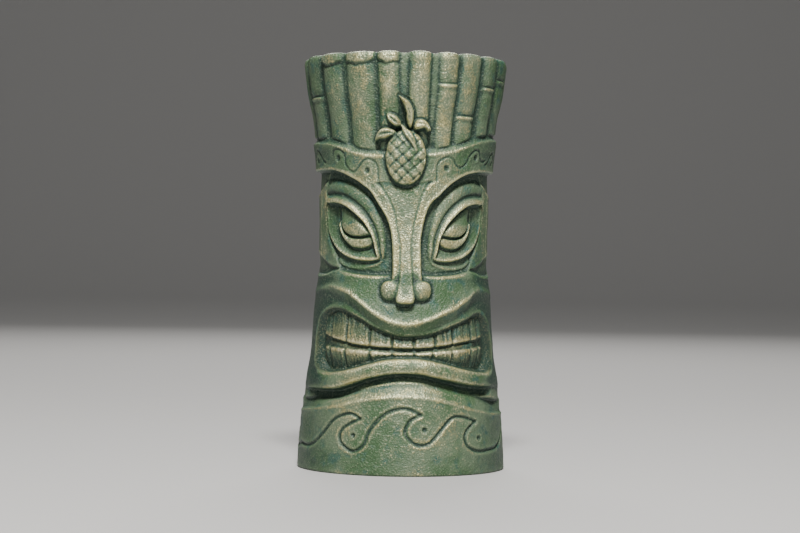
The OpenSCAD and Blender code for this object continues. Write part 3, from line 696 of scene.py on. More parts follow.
@dataclass
class Eyes(Part):
    """Both eye sockets, with their brows, rims, bags and half closed lids, between the temple plates."""

    socket: Points = (
        (-40, 128.9), (-31.1, 127.4), (-23.4, 124.6), (-15.6, 119.6), (-11.8, 114.6), (-8.2, 109), (-6.5, 105),
        (-5.4, 100.9), (-4.8, 96), (-4.5, 89.6), (-4.5, 83.9), (-4.5, 83.9), (-12.8, 83.6), (-22.5, 84.2),
        (-29.2, 85.3), (-33.5, 86.9), (-38.6, 93.2), (-42.6, 98.8), (-45.3, 106), (-46, 112.6), (-45.6, 119),
        (-43.5, 125.5))
    brow_outer: Points = (
        (-44.2, 123.2), (-36, 123.8), (-27.6, 122.3), (-20.9, 118.9), (-15.7, 114.6), (-12.2, 108.6), (-9.9, 102.5),
        (-9.0, 96), (-9.3, 90.6))
    lid_edge: Points = (
        (-12.6, 91.4), (-14.0, 94.4), (-14.8, 97.9), (-16.4, 101.3), (-19.0, 105.0), (-22.8, 108.4), (-27.1, 111.3),
        (-31.9, 113.4), (-37.3, 114.4), (-44.6, 115))
    rim_outer: Points = (
        (-44.8, 113.4), (-44.3, 107.6), (-43.1, 102.7), (-40.1, 98.4), (-36.2, 94.8), (-31.8, 92.5), (-26.9, 90.9),
        (-20.6, 89.9), (-15.6, 89.9), (-13, 90.3), (-11.3, 91.2))
    rim_inner: Points = (
        (-14.6, 94.4), (-18.2, 93.4), (-23.5, 93.1), (-29, 94.4), (-33.2, 97.3), (-36.1, 101.2), (-37.3, 106),
        (-38, 112.8))
    bag: Points = (
        (-35, 89.8), (-31.8, 87.8), (-25.5, 86.5), (-19.1, 86.6), (-13.3, 88), (-10.6, 89.7))
    lower_lid: Points = (
        (-34.6, 107.2), (-33.6, 103.6), (-31.2, 101.3), (-27.6, 99.8), (-23.4, 99.4), (-19.4, 99.7), (-15.4, 100.6),
        (-14.6, 97.4), (-17.2, 95.5), (-21.6, 94.7), (-26.4, 95.2), (-30.8, 97.4), (-34.0, 100.6), (-35.9, 104.8))
    ball: Points = (
        (-34.6, 109.0), (-34.8, 111.8), (-31.9, 113), (-27.1, 111), (-22.8, 108.1), (-18.7, 104.8), (-15.8, 101.4),
        (-15.2, 100.2), (-19.4, 99.9), (-23.4, 99.6), (-27.6, 100), (-31.2, 101.6), (-33.6, 104.2), (-34.4, 106.6))
    slit: Points = (
        (-34.2, 105.4), (-33.0, 102.9), (-30.8, 101.3), (-27.2, 99.9), (-23.2, 99.5), (-19.4, 99.8), (-15.8, 100.5))
    above_temple: Points = (
        (-42, 129), (-43.4, 124.4), (-49, 121.9), (-54, 119.7), (-62, 118.6), (-70, 119.6), (-75, 123), (-76, 129))
    below_temple: Points = (
        (-34, 86.3), (-38.5, 87), (-44, 88.6), (-52.6, 91.6), (-60, 93.2), (-66.5, 92), (-69, 88), (-65, 85),
        (-54, 84), (-44, 84.2), (-38, 85.6))
    above_level: float = 36.3
    below_level: float = 36.1
    floor: float = 35.6
    plate_edge: float = 52.5
    bag_level: float = 35.5
    rim_level: float = 37.0
    rim_fall: float = 2.0
    well: float = 34.5
    brow_level: float = 35.9
    lid_level: float = 34.9
    lid_stands: float = 2.0
    ball_level: float = 35.1

    def __post_init__(self) -> None:
        """Makes room for how far inside each of the eyes' outlines each place is."""
        self.inside: dict[tuple[str, bool], Field] = {}

    def side_of(self, curve: Points, right: bool) -> Points:
        """The curve for the left or the right eye."""
        return other_side(curve) if right else curve

    def shape(self) -> None:
        """Models both eyes and the hollows above and below the temple plates."""
        relief, out = self.relief, np.abs(self.relief.a)
        plate = soft_step((out - 43) / 3) * soft_step((76 - out) / 22)
        tall = soft_step((relief.z - 89) / 4) * soft_step((123 - relief.z) / 4)
        edge = bell(out - self.plate_edge, 1.1) * tall
        relief.radius += 0.35 * edge
        relief.wax_and_shade += 0.27 * plate * tall + 0.04 * edge
        for right in (False, True):
            self.temple(right)
            self.hollow(right)
            self.rim(right)
            self.brow(right)
            self.lids(right)

    def temple(self, right: bool) -> None:
        """Sinks the hollows above and below a temple plate, so that it stands up between them.

        Args:
            right: whether it is the right one.
        """
        relief = self.relief
        in_front = soft_step((76 - np.abs(relief.a)) / 12)
        for curve, level in ((self.above_temple, self.above_level), (self.below_temple, self.below_level)):
            inside = relief.within(self.side_of(curve, right))
            relief.put(level, soft_step(inside / 1.0 + 0.5) * in_front)
            relief.radius += 0.2 * bell(inside + 0.8, 0.5) * in_front

    def hollow(self, right: bool) -> None:
        """Sinks a socket with steep sides.

        Args:
            right: whether it is the right one.
        """
        inside = self.relief.within(self.side_of(self.socket, right), margin=5)
        shelf = self.floor + 0.2 * soft_step((92 - self.relief.z) / 9)
        self.relief.put(shelf, soft_step(inside / 1.2 + 0.45))
        self.inside["socket", right] = inside

    def rim(self, right: bool) -> None:
        """Raises an eye rim, which slopes in towards the eye, and the bag under it.

        Args:
            right: whether it is the right one.
        """
        relief = self.relief
        outer, inner, fold = (self.side_of(c, right) for c in (self.rim_outer, self.rim_inner, self.bag))
        bag = relief.within(outer[3:] + fold[::-1])
        relief.put(self.bag_level + 0.75 * bell(relief.from_line(fold), 0.9), soft_step(bag / 0.8 + 0.9))
        inside = relief.within(outer + inner)
        from_outer, from_inner = relief.from_line(outer, 9), relief.from_line(inner, 9)
        inwards = from_outer / np.maximum(from_outer + from_inner, 0.01)
        slope = self.rim_level - self.rim_fall * inwards + 0.4 * bell(from_outer - 0.5, 0.5)
        relief.put(slope, soft_step(inside / 0.8 + 0.7))
        within_rim = relief.within(inner + self.side_of(self.lid_edge[::-1], right))
        relief.put(self.well, soft_step(within_rim / 1.6 + 0.1) * 0.9)
        self.inside["rim", right] = inside

    def brow(self, right: bool) -> None:
        """Models a heavy brow: a broad outer roll, two fine cuts, then the roll that overhangs as the upper lid.

        Args:
            right: whether it is the right one.
        """
        relief = self.relief
        outer, lid = self.side_of(self.brow_outer, right), self.side_of(self.lid_edge, right)
        inside = relief.within(outer + lid)
        from_outer, from_lid = relief.from_line(outer, 13), relief.from_line(lid, 13)
        t = from_outer / np.maximum(from_outer + from_lid, 0.01)
        level = self.brow_level + 1.2 * t + 0.8 * np.sin(math.pi * np.clip(t / 0.56, 0, 1)) ** 0.7
        level = level + 1.35 * soft_step((t - 0.62) / 0.3) - 0.45 * soft_step((t - 0.93) / 0.09)
        level = level - 0.5 * bell(t - 0.57, 0.04) - 0.34 * bell(t - 0.665, 0.034)
        level = level - 0.9 * soft_step((94 - relief.z) / 4.5)
        relief.put(level, soft_step(inside / 0.9 + 0.55))
        # Painted shadow of the band and the strips over the brow's outer roll.
        relief.wax_and_shade -= 0.09 * soft_step(inside + 0.5) * soft_step((0.62 - t) / 0.1)
        self.inside["brow", right] = inside

    def lids(self, right: bool) -> None:
        """Models a bulging eye, the plump lower lid and the slit between them.

        Args:
            right: whether it is the right one.
        """
        relief, brow = self.relief, self.inside["brow", right]
        free = brow < -0.2
        lid = relief.within(self.side_of(self.lower_lid, right))
        relief.put(self.lid_level + self.lid_stands * round_over(lid, 2.2), soft_step(lid / 0.6 + 0.4) * free)
        ball = relief.within(self.side_of(self.ball, right))
        low = soft_step((109 - relief.z) / 7)
        relief.put(self.ball_level + (1.3 + 1.1 * low) * round_over(ball, 3.6), soft_step(ball / 0.6 + 0.4) * free)
        relief.cut(self.side_of(self.slit, right), 0.6, 0.5)
        # More wax on the ball's lower half and on the lower lid; painted shade on the ball's upper part, under the
        # overhanging lid.
        relief.wax_and_shade += soft_step(ball / 1.0) * (0.13 * low - 0.05) + 0.06 * soft_step(lid / 1.0) * (ball < 0)
        self.inside["ball", right] = np.minimum(np.maximum(ball, lid + 0.4), -brow - 0.4)

    def claim(self, cheek_height: Field) -> None:
        """Claims the temple plates, the wall seen in the sockets, the rims, brows and lids.

        Args:
            cheek_height: the height of the cheeks' top.
        """
        relief = self.relief
        for right, name in ((False, "left"), (True, "right")):
            half = relief.a if right else -relief.a
            relief.claims["temple_" + name] = np.minimum(np.minimum(half, relief.front), relief.z - cheek_height)
            relief.claims["wall_socket_" + name] = self.inside["socket", right] + 0.5
            relief.claims["eye_rim_" + name] = self.inside["rim", right] + 0.5
            relief.claims["eyeball_" + name] = self.inside["ball", right]
            relief.claims["brow_" + name] = self.inside["brow", right] + 0.4


@dataclass
class Headband(Part):
    """The band round the head, with a bevelled top and a cut scroll."""

    top: Points = (
        (-126, 141.4), (-90, 140.6), (-60, 140.2), (-49.6, 139.9), (-37.3, 139), (-30.9, 137.3), (-25.4, 135.7),
        (-20.5, 134.6), (-14.4, 133.9), (-3, 133.7), (9.3, 134.5), (15.8, 135.3), (22.7, 136.6), (26.7, 138),
        (31, 139.3), (38.5, 141.1), (50, 142.3), (70, 142.6), (126, 141.4))
    piece_foot: Points = (
        (-126, 128.4), (-46, 128.4), (-34, 128.2), (-24.2, 127), (-18, 125.4), (-12.4, 123.3), (-6, 122.5), (0, 122),
        (6, 122.7), (11, 123.7), (18, 125.6), (25.6, 127.2), (34, 128.2), (46, 128.4), (126, 128.4))
    level: Points = ((100, 38.7), (128, 38.8), (135, 39.2), (143, 39.9), (178, 39.9))
    bevel: float = 2.6
    left_scroll: Points = (
        (-37, 134.6), (-36.2, 136.4), (-33.5, 137.1), (-30.6, 136), (-29.1, 133.4), (-28.9, 130.6), (-26.7, 128.2),
        (-24.2, 127.2), (-21.6, 129.4), (-19.8, 131.6), (-17.4, 132.6), (-14.9, 131.9), (-13, 130), (-12.5, 127),
        (-12.2, 123.6))
    right_scroll: Points = (
        (13.6, 123.8), (13.8, 130.2), (15.6, 132.6), (18.6, 133.9), (21.6, 132.9), (22.9, 130.8), (25.4, 129.6),
        (28, 130.8), (29.4, 132.6), (31.2, 135.4), (34.2, 137.4), (36.9, 136.9), (38.1, 134.2), (40, 132.8),
        (43, 133.4))
    dots: Points = ((-17.6, 127.7), (-33.2, 133.2), (18.1, 129.1), (34.8, 134.2))
    dot_size: float = 1.2
    line_depth: float = 0.6
    line_width: float = 0.6
    back_from: float = 43.0
    back_turns: int = 10
    back_middle: float = 134.4
    back_swing: float = 2.8
    back_dots: float = 132.8

    def __post_init__(self) -> None:
        """Works out the heights of the band's foot, of its flat face's top, and of the bevel's top."""
        self.foot_height = self.relief.height_of(self.piece_foot)
        self.face_height = self.relief.height_of(self.top)
        self.bevel_height = self.face_height + self.bevel

    def shape(self) -> None:
        """Models the band, its bevel and its scroll."""
        relief, top, foot = self.relief, self.face_height, self.foot_height
        level = relief.along_height(self.level)
        relief.put(level, soft_step((relief.z - foot) / 0.7 + 0.5) * soft_step((top - relief.z) / 0.8 + 1.2))
        relief.radius += 0.22 * bell(top - relief.z, 0.55)
        up_bevel = np.clip((relief.z - top) / self.bevel, 0, 1)
        relief.put(level - 2.0 * up_bevel**0.8, soft_step((relief.z - top) / 0.7 + 0.2)
                   * (relief.z < self.bevel_height + 0.3))
        on_band = (relief.z > foot) & (relief.z < self.bevel_height)
        # Painted shade: the band is darker towards the sides, where the light falls off.
        relief.wax_and_shade -= 0.07 * soft_step((np.abs(relief.a) - 18) / 10) * on_band
        span = ROUND_MUG - 2 * self.back_from
        turn = span / self.back_turns
        back_scroll = tuple((self.back_from + turn * step / 8,
                             self.back_middle - self.back_swing * math.cos(step * math.pi / 4))
                            for step in range(8 * self.back_turns + 1))
        for scroll in (self.left_scroll, self.right_scroll, back_scroll):
            relief.cut(scroll, self.line_depth, self.line_width)
        back_dots = tuple((self.back_from + turn * (i + 0.5), self.back_dots) for i in range(self.back_turns))
        for dot in self.dots + back_dots:
            relief.stud(dot, self.dot_size)

    def claim(self) -> None:
        """Claims the band with its bevel."""
        z = self.relief.z
        self.relief.claims["headband"] = np.minimum(z - self.foot_height, self.bevel_height - z)


@dataclass(frozen=True)
class Cane:
    """One bamboo cane: its direction and width in degrees, its cut joints' heights, and whether it has a collar."""

    direction: float
    width: float
    joints: tuple[float, ...] = ()
    collar: bool = False


@dataclass
class CaneRing(Part):
    """Twenty bamboo canes that stand side by side round the rim."""

    band_height: Field
    front: tuple[Cane, ...] = (
        Cane(-70.0, 20.4, (160.0,)), Cane(-49.0, 19.6, (), True), Cane(-28.4, 20.2, (), True),
        Cane(-11.2, 13.4, (), True), Cane(7.3, 13.4), Cane(24.4, 13.4, (164.6,)), Cane(40.0, 16.8, (151.6,)),
        Cane(57.2, 15.4, (164.4,)), Cane(74.6, 18.4, (168.4,)))
    first_back: float = 92.6
    back_pitch: float = 17.7
    back_width: float = 17.4
    back_joints: tuple[float, ...] = (0, 158, 167, 0, 150, 0, 162, 0, 155, 168, 0)
    crest: Points = (
        (120, 37.8), (134, 38.3), (140, 38.9), (147.8, 39.7), (153.5, 40.7), (158, 41.7), (163, 42.7), (169, 43.4),
        (175, 44.2), (180, 44.6))
    valley: float = 2.3
    strip: float = 1.75
    joint_depth: float = 0.95
    joint_roll: float = 0.5
    collar_foot: float = 173.2
    collar_stands: float = 0.75

    def __post_init__(self) -> None:
        """Lists every cane, those round the back from their joints alone, and starts the domes of their ends."""
        back = (Cane(self.first_back + self.back_pitch * i, self.back_width, (float(joint),) if joint else ())
                for i, joint in enumerate(self.back_joints))
        self.canes = (*self.front, *back)
        self.dome = np.zeros(self.relief.lattice.columns)

    def offset(self, direction: float) -> Field:
        """Degrees round the mug from a direction, the short way."""
        return (np.degrees(self.relief.a / UNROLL_RADIUS) - direction + 180) % 360 - 180

    def shape(self) -> None:
        """Models the canes above the headband."""
        relief = self.relief
        crest = relief.along_height(self.crest)
        level = crest - self.strip
        rng = np.random.default_rng(5)
        ragged = relief.uneven(2.6, 21) * 0.6 + relief.uneven(1.2, 22) * 0.4
        fibre = relief.uneven(0.9, 23, 6.0) * 0.6 + relief.uneven(1.9, 24, 5.0) * 0.4
        for cane in self.canes:
            wander = 0.35 * np.sin(relief.z / 9 + rng.uniform(0, 6))
            u = (self.offset(cane.direction) + wander) / (cane.width / 2)
            lift = rng.uniform(-0.22, 0.22)
            body = crest + lift - self.valley * (0.62 * u**2 + 0.38 * u**8)
            on_top = np.clip(1 - u**4, 0, 1)
            on_cane = (np.abs(u) < 1) & (relief.z > self.band_height)
            # Painted shading across each round cane, lighter on its crest and darker to its sides, with real streaks
            # of wax along the fibre.
            relief.wax_and_shade += np.where(on_cane, 0.16 * (0.25 - u**2) + 0.09 * fibre, 0)
            body = body + 0.09 * fibre
            for joint in cane.joints:
                below = joint - relief.z
                body = body - self.joint_depth * bell(below, 0.36) * on_top**0.4 - 0.25 * bell(below + 1.1, 0.8)
                body = body + self.joint_roll * bell(below - 0.95, 0.5) * on_top - 0.2 * bell(below - 2.8, 1.0)
            if cane.collar:
                edge = self.collar_foot + 0.9 * ragged + 0.9 * (np.abs(u) - 0.5)
                stands = self.collar_stands + 0.4 * ragged
                body = body + stands * soft_step((relief.z - edge) / 0.5) * on_top**0.4
                body = body - 0.35 * bell(relief.z - edge + 0.9, 0.6)
            level = np.where(np.abs(u) < 1, np.maximum(level, body), level)
            end = np.clip(1 - (self.offset(cane.direction)[0] / (cane.width / 2)) ** 2, 0, 1)
            self.dome = np.maximum(self.dome, end**0.5 * (1 + rng.uniform(-0.2, 0.0)))
        relief.put(level, soft_step((relief.z - self.band_height) / 0.7 + 0.5))

    def claim(self) -> None:
        """Claims each cane, with the strip of wall beside it shared between neighbours."""
        nearest = np.array([np.abs(self.offset(c.direction)) - c.width / 2 for c in self.canes]).argmin(axis=0)
        for i in range(len(self.canes)):
            mine = (nearest == i) & (self.relief.z > self.band_height)
            self.relief.claims[f"cane_{i + 1:02d}"] = np.where(mine, 1.0, -1.0)


@dataclass
class PineappleBadge(Part):
    """The pineapple on the headband: a latticed fruit and five leaves.

    Each leaf is its outline with its tip given twice, its midrib, and how far it stands over the band, or nothing
    for the one that lies on the fruit.
    """

    centre: tuple[float, float] = (-0.3, 133.2)
    half_width: float = 8.8
    half_height: float = 11.9
    stands: float = 3.5
    seat: float = 39.9
    cell: float = 3.45
    lattice_cuts: Points = ((43, 0.4), (-47, 1.5))
    cut_depth: float = 0.58
    cut_width: float = 0.32
    leaves: tuple[tuple[Points, Points, float], ...] = (
        (((-4.4, 143.6), (-8, 145.4), (-11.6, 144.6), (-14.2, 140), (-14.2, 140), (-11.4, 141), (-8, 141.3)),
         ((-4.6, 143.4), (-8, 143.4), (-11.4, 142.6), (-14, 140.2)), 1.9),
        (((-2.4, 147.4), (-4.4, 150.4), (-8.4, 151.7), (-8.4, 151.7), (-8, 149), (-6.4, 147.2), (-4, 146)),
         ((-2.8, 146.8), (-5.4, 148.6), (-8.2, 151.5)), 2.0),
        (((1.2, 145.4), (-0.2, 149), (-0.6, 152.6), (-3.1, 158.6), (-3.1, 158.6), (0.4, 156.6), (2.5, 152.6),
          (2.5, 148)), ((1.2, 146.4), (0.6, 150), (0.2, 153.4), (-2.4, 157.8)), 2.4),
        (((3.0, 145), (3.6, 148.4), (6.2, 149.1), (8.6, 147.8), (10.5, 144.9), (10.5, 144.9), (8.6, 144.3),
          (7.4, 145.6), (5.4, 145.2)), ((3.8, 147.2), (6.2, 147.6), (8.6, 146.6), (10.1, 145.1)), 2.3),
        (((-3.0, 147), (-0.4, 145.8), (2.4, 142.2), (3.9, 137), (3.8, 135.4), (3.8, 135.4), (1.8, 138.6),
          (-0.6, 142)), ((-2.4, 146.4), (0.4, 143.4), (2.4, 139.8), (3.6, 136.4)), 0.0))
    rib_depth: float = 0.8
    rib_width: float = 0.6

    def __post_init__(self) -> None:
        """Works out how far out from the fruit's centre each place is, 1 at its edge."""
        relief = self.relief
        a, z = relief.a - self.centre[0], relief.z - self.centre[1]
        self.out_from = np.hypot(a / (self.half_width * (1 + 0.03 * z / self.half_height)), z / self.half_height)
        self.skin = self.seat + self.stands * np.sqrt(np.clip(1 - self.out_from**2.4, 0, 1))
        self.leaf_inside: list[Field] = []

    def shape(self) -> None:
        """Models the fruit, its lattice and the leaves."""
        relief, out_from = self.relief, self.out_from
        a, z = relief.a - self.centre[0], relief.z - self.centre[1]
        surface = self.skin
        for turn, start in self.lattice_cuts:
            across = a * math.cos(math.radians(turn)) + z * math.sin(math.radians(turn)) + start
            from_cut = np.abs((across / self.cell + 0.5) % 1 - 0.5) * self.cell
            surface = surface - self.cut_depth * bell(from_cut, self.cut_width)
        surface = surface + 0.22 * relief.uneven(1.4, 31) + 0.2 * relief.uneven(3.2, 33)
        # Less wax all over the fruit, and painted shade on its lower left.
        lower_left_shade = soft_step((out_from - 0.55) / 0.4) * soft_step((2 - a) / 4)
        relief.wax_and_shade -= (0.10 + 0.08 * lower_left_shade) * (out_from < 1.05)
        relief.radius -= 0.2 * bell(out_from - 1.06, 0.05)
        relief.put(surface, soft_step((1.02 - out_from) / 0.07))
        for outline, rib, stands in self.leaves:
            self.leaf(outline, rib, stands)

    def leaf(self, outline: Points, rib: Points, stands: float) -> None:
        """Models one fleshy leaf with a cut midrib.

        Args:
            outline: its edge.
            rib: its midrib.
            stands: how far it stands over the band, or nothing for a leaf that lies on the fruit.
        """
        relief = self.relief
        inside = relief.within(outline, margin=2.5)
        bulge = round_over(inside, 1.1)
        if stands > 0:
            base = np.interp(relief.z, [134, 143, 150, 160], [39.2, 40.0, 40.5, 42.3])
            level = np.maximum(base + stands * (0.6 + 0.4 * bulge), relief.radius)
        else:
            level = np.maximum(self.skin, relief.radius) + 0.7 + 0.7 * bulge
        relief.radius -= 0.5 * bell(inside + 0.5, 0.4)
        relief.put(level, soft_step(inside / 0.5 + 0.5))
        relief.cut(rib, self.rib_depth, self.rib_width)
        relief.wax_and_shade += 0.12 * bell(inside - 0.25, 0.35) - 0.24 * soft_step(inside / 0.6)
        self.leaf_inside.append(inside)

    def claim(self) -> None:
        """Claims the fruit and each leaf."""
        self.relief.claims["pineapple"] = 1.03 - self.out_from
        for i, inside in enumerate(self.leaf_inside):
            self.relief.claims[f"leaf_{i + 1}"] = inside + 0.25


# ---------------------------------------------------------------- from relief to pieces


# A row's radius and height, then those of the surface behind it.
Row = tuple[np.ndarray | float, np.ndarray | float, np.ndarray | float, float]


class Shell:
    """The finished relief as places in space, and the pieces that it is divided into."""

    thinnest: float = 0.35
    rim_share: float = 0.56
    rim_mark: float = 0.58

    def __init__(self, relief: Relief, cane_dome: np.ndarray) -> None:
        """Carries the relief over the rim and a little way down the bore.

        Args:
            relief: the finished relief.
            cane_dome: how high the cane ends round over in each direction, from 0 to 1.
        """
        self.lattice, self.columns = relief.lattice, relief.lattice.columns
        rows = [*self.outside(relief.radius), *self.rim(relief.radius[-1], cane_dome), *self.lip()]
        self.rows = len(rows)
        radius, height, back_radius, back_height = (
            np.array([np.broadcast_to(row[i], self.columns) for row in rows]) for i in range(4))
        self.front, self.back = self.place(radius, height), self.place(back_radius, back_height)
        round_mug = np.roll(self.front, -1, axis=1) - np.roll(self.front, 1, axis=1)
        outward = np.cross(round_mug, np.gradient(self.front, axis=0))
        self.normals = outward / np.maximum(np.linalg.norm(outward, axis=-1, keepdims=True), 1e-12)
        self.raised = self.marks(relief)
        self.names = [*relief.claims, "wall_lip"]
        self.owner = self.divide(relief)

    def outside(self, radius: Field) -> list[Row]:
        """The rows of the relief itself.

        Args:
            radius: the relief's radius at every place.

        Returns:
            The rows from the foot up.
        """
        wall = smooth(WALL_OUTSIDE)
        return [(row, height, np.minimum(np.interp(height, wall[:, 0], wall[:, 1]), row - self.thinnest), height)
                for row, height in zip(radius, self.lattice.height, strict=True)]

    def rim(self, edge: np.ndarray, cane_dome: np.ndarray) -> list[Row]:
        """The rows that turn over the cane ends and in to the bore.

        Args:
            edge: the relief's uppermost radii.
            cane_dome: how high the cane ends round over in each direction.

        Returns:
            The rows in order, going on from the last ones.
        """
        lattice, rows = self.lattice, []
        middle, base = lattice.rim_middle, lattice.rim_foot
        rise = 2.15 + (MUG_HEIGHT - base - 2.25) * cane_dome
        for turn in np.linspace(0, math.pi, lattice.rim_rows + 1)[1:]:
            cosine, sine = math.cos(turn), max(math.sin(turn), 0.0)
            across = math.copysign(abs(cosine) ** 0.7, cosine)
            inward = soft_step(np.array((turn / math.pi - 0.45) / 0.4))
            height = rise * (1 - inward) + lattice.lip_height * inward
            reach = edge - middle if cosine > 0 else middle - lattice.lip_radius
            rows.append((middle + reach * across, base + height * sine**0.62, middle - 0.8 + 0.6 * across, base - 0.8))
        return rows

    def lip(self) -> list[Row]:
        """The rows that run a little way down the bore.

        Returns:
            The rows in order, going on from the last ones.
        """
        lattice, bore, rows = self.lattice, smooth(BORE), []
        step_in = lattice.lip_radius - np.interp(lattice.rim_foot, bore[:, 0], bore[:, 1])
        for depth in np.linspace(0, lattice.lip_depth, lattice.lip_rows + 1)[1:]:
            height = lattice.rim_foot - depth
            inside = np.interp(height, bore[:, 0], bore[:, 1]) + step_in * (1 - depth / lattice.lip_depth)
            rows.append((inside, height, inside + 1.2, height))
        return rows

    def place(self, radius: np.ndarray, height: np.ndarray) -> np.ndarray:
        """Places in space, in metres, from radii and heights."""
        turn = self.lattice.direction[None, :]
        return np.stack([radius * np.sin(turn), -radius * np.cos(turn), height], axis=-1) * MM

    def marks(self, relief: Relief) -> np.ndarray:
        """How raised or sunken each place is beside its surroundings, for the rubbed finish, with painted light and
        shade added.

        Args:
            relief: the finished relief.

        Returns:
            The mark of each place, from 0 in the deepest hollows to 1 on the sharpest edges.
        """
        fine, middle, broad = (relief.radius - spread(relief.radius, sigma) for sigma in (2.0, 5.5, 14.0))
        fine = np.where(fine > 0, np.clip(fine / 0.45, 0, 1), np.clip(fine / 0.31, -1, 0))
        mark = 0.495 + 0.28 * fine + 0.15 * np.clip(middle / 1.1, -1, 1) + 0.06 * np.clip(broad / 2.5, -1, 1)
        out = np.abs(relief.a)
        # Painted shade: darker towards the sides, where the light falls off, and a little less so round the back.
        side_shade = 0.17 * soft_step((out - 18) / 28) - 0.14 * soft_step((out - 64) / 30)
        # Painted light: places that face up are made lighter, as if lit from above.
        mark = mark + 0.07 * self.normals[:len(mark), :, 2] + spread(relief.wax_and_shade, 1.5) - side_shade
        over_rim = np.linspace(0, 1, self.rows - len(mark))[:, None] ** 0.6
        return np.concatenate([mark, mark[-1:] * (1 - over_rim) + self.rim_mark * over_rim])

    def divide(self, relief: Relief) -> np.ndarray:
        """Shares out the small faces: the last claim wins, apart from faces that touch only at a corner.

        Args:
            relief: the finished relief, with its claims.

        Returns:
            The number of the name that each small face belongs to.
        """
        rows = len(self.lattice.height)
        owner = np.full((self.rows - 1, self.columns), -1)
        for i, amount in enumerate(relief.claims.values()):
            right = np.roll(amount, -1, axis=1)
            owner[:rows - 1][(amount[:-1] + amount[1:] + right[:-1] + right[1:]) / 4 > 0] = i
        rim_end = rows - 1 + round(self.lattice.rim_rows * self.rim_share)
        owner[rows - 1:rim_end] = owner[rows - 2]
        owner[rim_end:] = len(self.names) - 1
        for _ in range(4):
            a, b = owner[:-1], owner[1:]
            a_next, b_next = np.roll(a, -1, axis=1), np.roll(b, -1, axis=1)
            rising = (a == b_next) & (a != a_next) & (a != b)
            falling = (a_next == b) & (a != a_next) & (b_next != b) & ~rising
            fixed = owner.copy()
            at_row, at_column = np.nonzero(rising)
            fixed[at_row, (at_column + 1) % self.columns] = owner[at_row, at_column]
            at_row, at_column = np.nonzero(falling)
            fixed[at_row, at_column] = owner[at_row + 1, at_column]
            owner = fixed
        return owner

    def piece(self, name: str) -> bpy.types.Object:
        """Builds one closed piece: its share of the relief in front, the wall's surface behind, and sides between.

        Args:
            name: the name that claimed it.

        Returns:
            The new object.
        """
        mine = self.owner == self.names.index(name)
        rows_used, columns_used = np.nonzero(mine.any(axis=1))[0], np.nonzero(mine.any(axis=0))[0]
        low, left = int(rows_used[0]), int(columns_used[0])
        up, across = int(rows_used[-1]) + 1 - low, int(columns_used[-1]) + 1 - left
        bm = bmesh.new()
        bmesh.ops.create_grid(bm, x_segments=across, y_segments=up, size=0.5)
        fit = Matrix.Translation((left + across / 2, low + up / 2, 0)) @ Matrix.Diagonal((across, up, 1, 1))
        bmesh.ops.transform(bm, matrix=fit, verts=bm.verts)
        centres = ((face, face.calc_center_median()) for face in bm.faces)
        spare = [face for face, at in centres if not mine[int(at.y), int(at.x)]]
        bmesh.ops.delete(bm, geom=spare, context="FACES")
        if across == self.columns:
            start = {round(v.co.y): v for v in bm.verts if round(v.co.x) == 0}
            ends = {v: start[round(v.co.y)] for v in bm.verts
                    if round(v.co.x) == self.columns and round(v.co.y) in start}
            bmesh.ops.weld_verts(bm, targetmap=ends)
        # The kept faces become the back, which the extrusion itself turns to face backwards.
        extruded = bmesh.ops.extrude_face_region(bm, geom=list(bm.faces), use_keep_orig=True)["geom"]
        bmesh.ops.translate(bm, verts=[g for g in extruded if isinstance(g, bmesh.types.BMVert)], vec=(0, 0, 1))
        piece = new_object(name + "_relief", bm)
        self.model(piece.data)
        return piece

    def model(self, mesh: bpy.types.Mesh) -> None:
        """Moves a flat piece's points on to the relief and the wall, with the relief's own directions and marks.

        Args:
            mesh: the piece's mesh, with the column and row as x and y, and z raised on its front.
        """
        at = np.empty(len(mesh.vertices) * 3, np.float32)
        mesh.vertices.foreach_get("co", at)
        at = at.reshape(-1, 3)
        column, row = np.rint(at[:, 0]).astype(int) % self.columns, np.rint(at[:, 1]).astype(int)
        ahead = at[:, 2] > 0.5
        spot = np.where(ahead[:, None], self.front[row, column], self.back[row, column])
        mesh.vertices.foreach_set("co", spot.astype(np.float32).ravel())
        raised = mesh.attributes.new("raised", "FLOAT", "POINT")
        raised.data.foreach_set("value", np.where(ahead, self.raised[row, column], 0.5).astype(np.float32))
        mesh.polygons.foreach_set("use_smooth", np.ones(len(mesh.polygons), bool))
        facing = self.normals[row, column] * np.where(ahead, 1.0, -1.0)[:, None]
        mesh.update()
        mesh.normals_split_custom_set_from_vertices(facing.astype(np.float32).tolist())


def new_object(name: str, bm: bmesh.types.BMesh) -> bpy.types.Object:
    """Makes an object at the origin of a finished bmesh, and frees the bmesh.

    Args:
        name: the object's and the mesh's name.
        bm: the finished bmesh.

    Returns:
        The new object.
    """
    mesh = bpy.data.meshes.new(name)
    bm.to_mesh(mesh)
    bm.free()
    made = bpy.data.objects.new(name, mesh)
    bpy.context.scene.collection.objects.link(made)
    return made


# ---------------------------------------------------------------- finishes


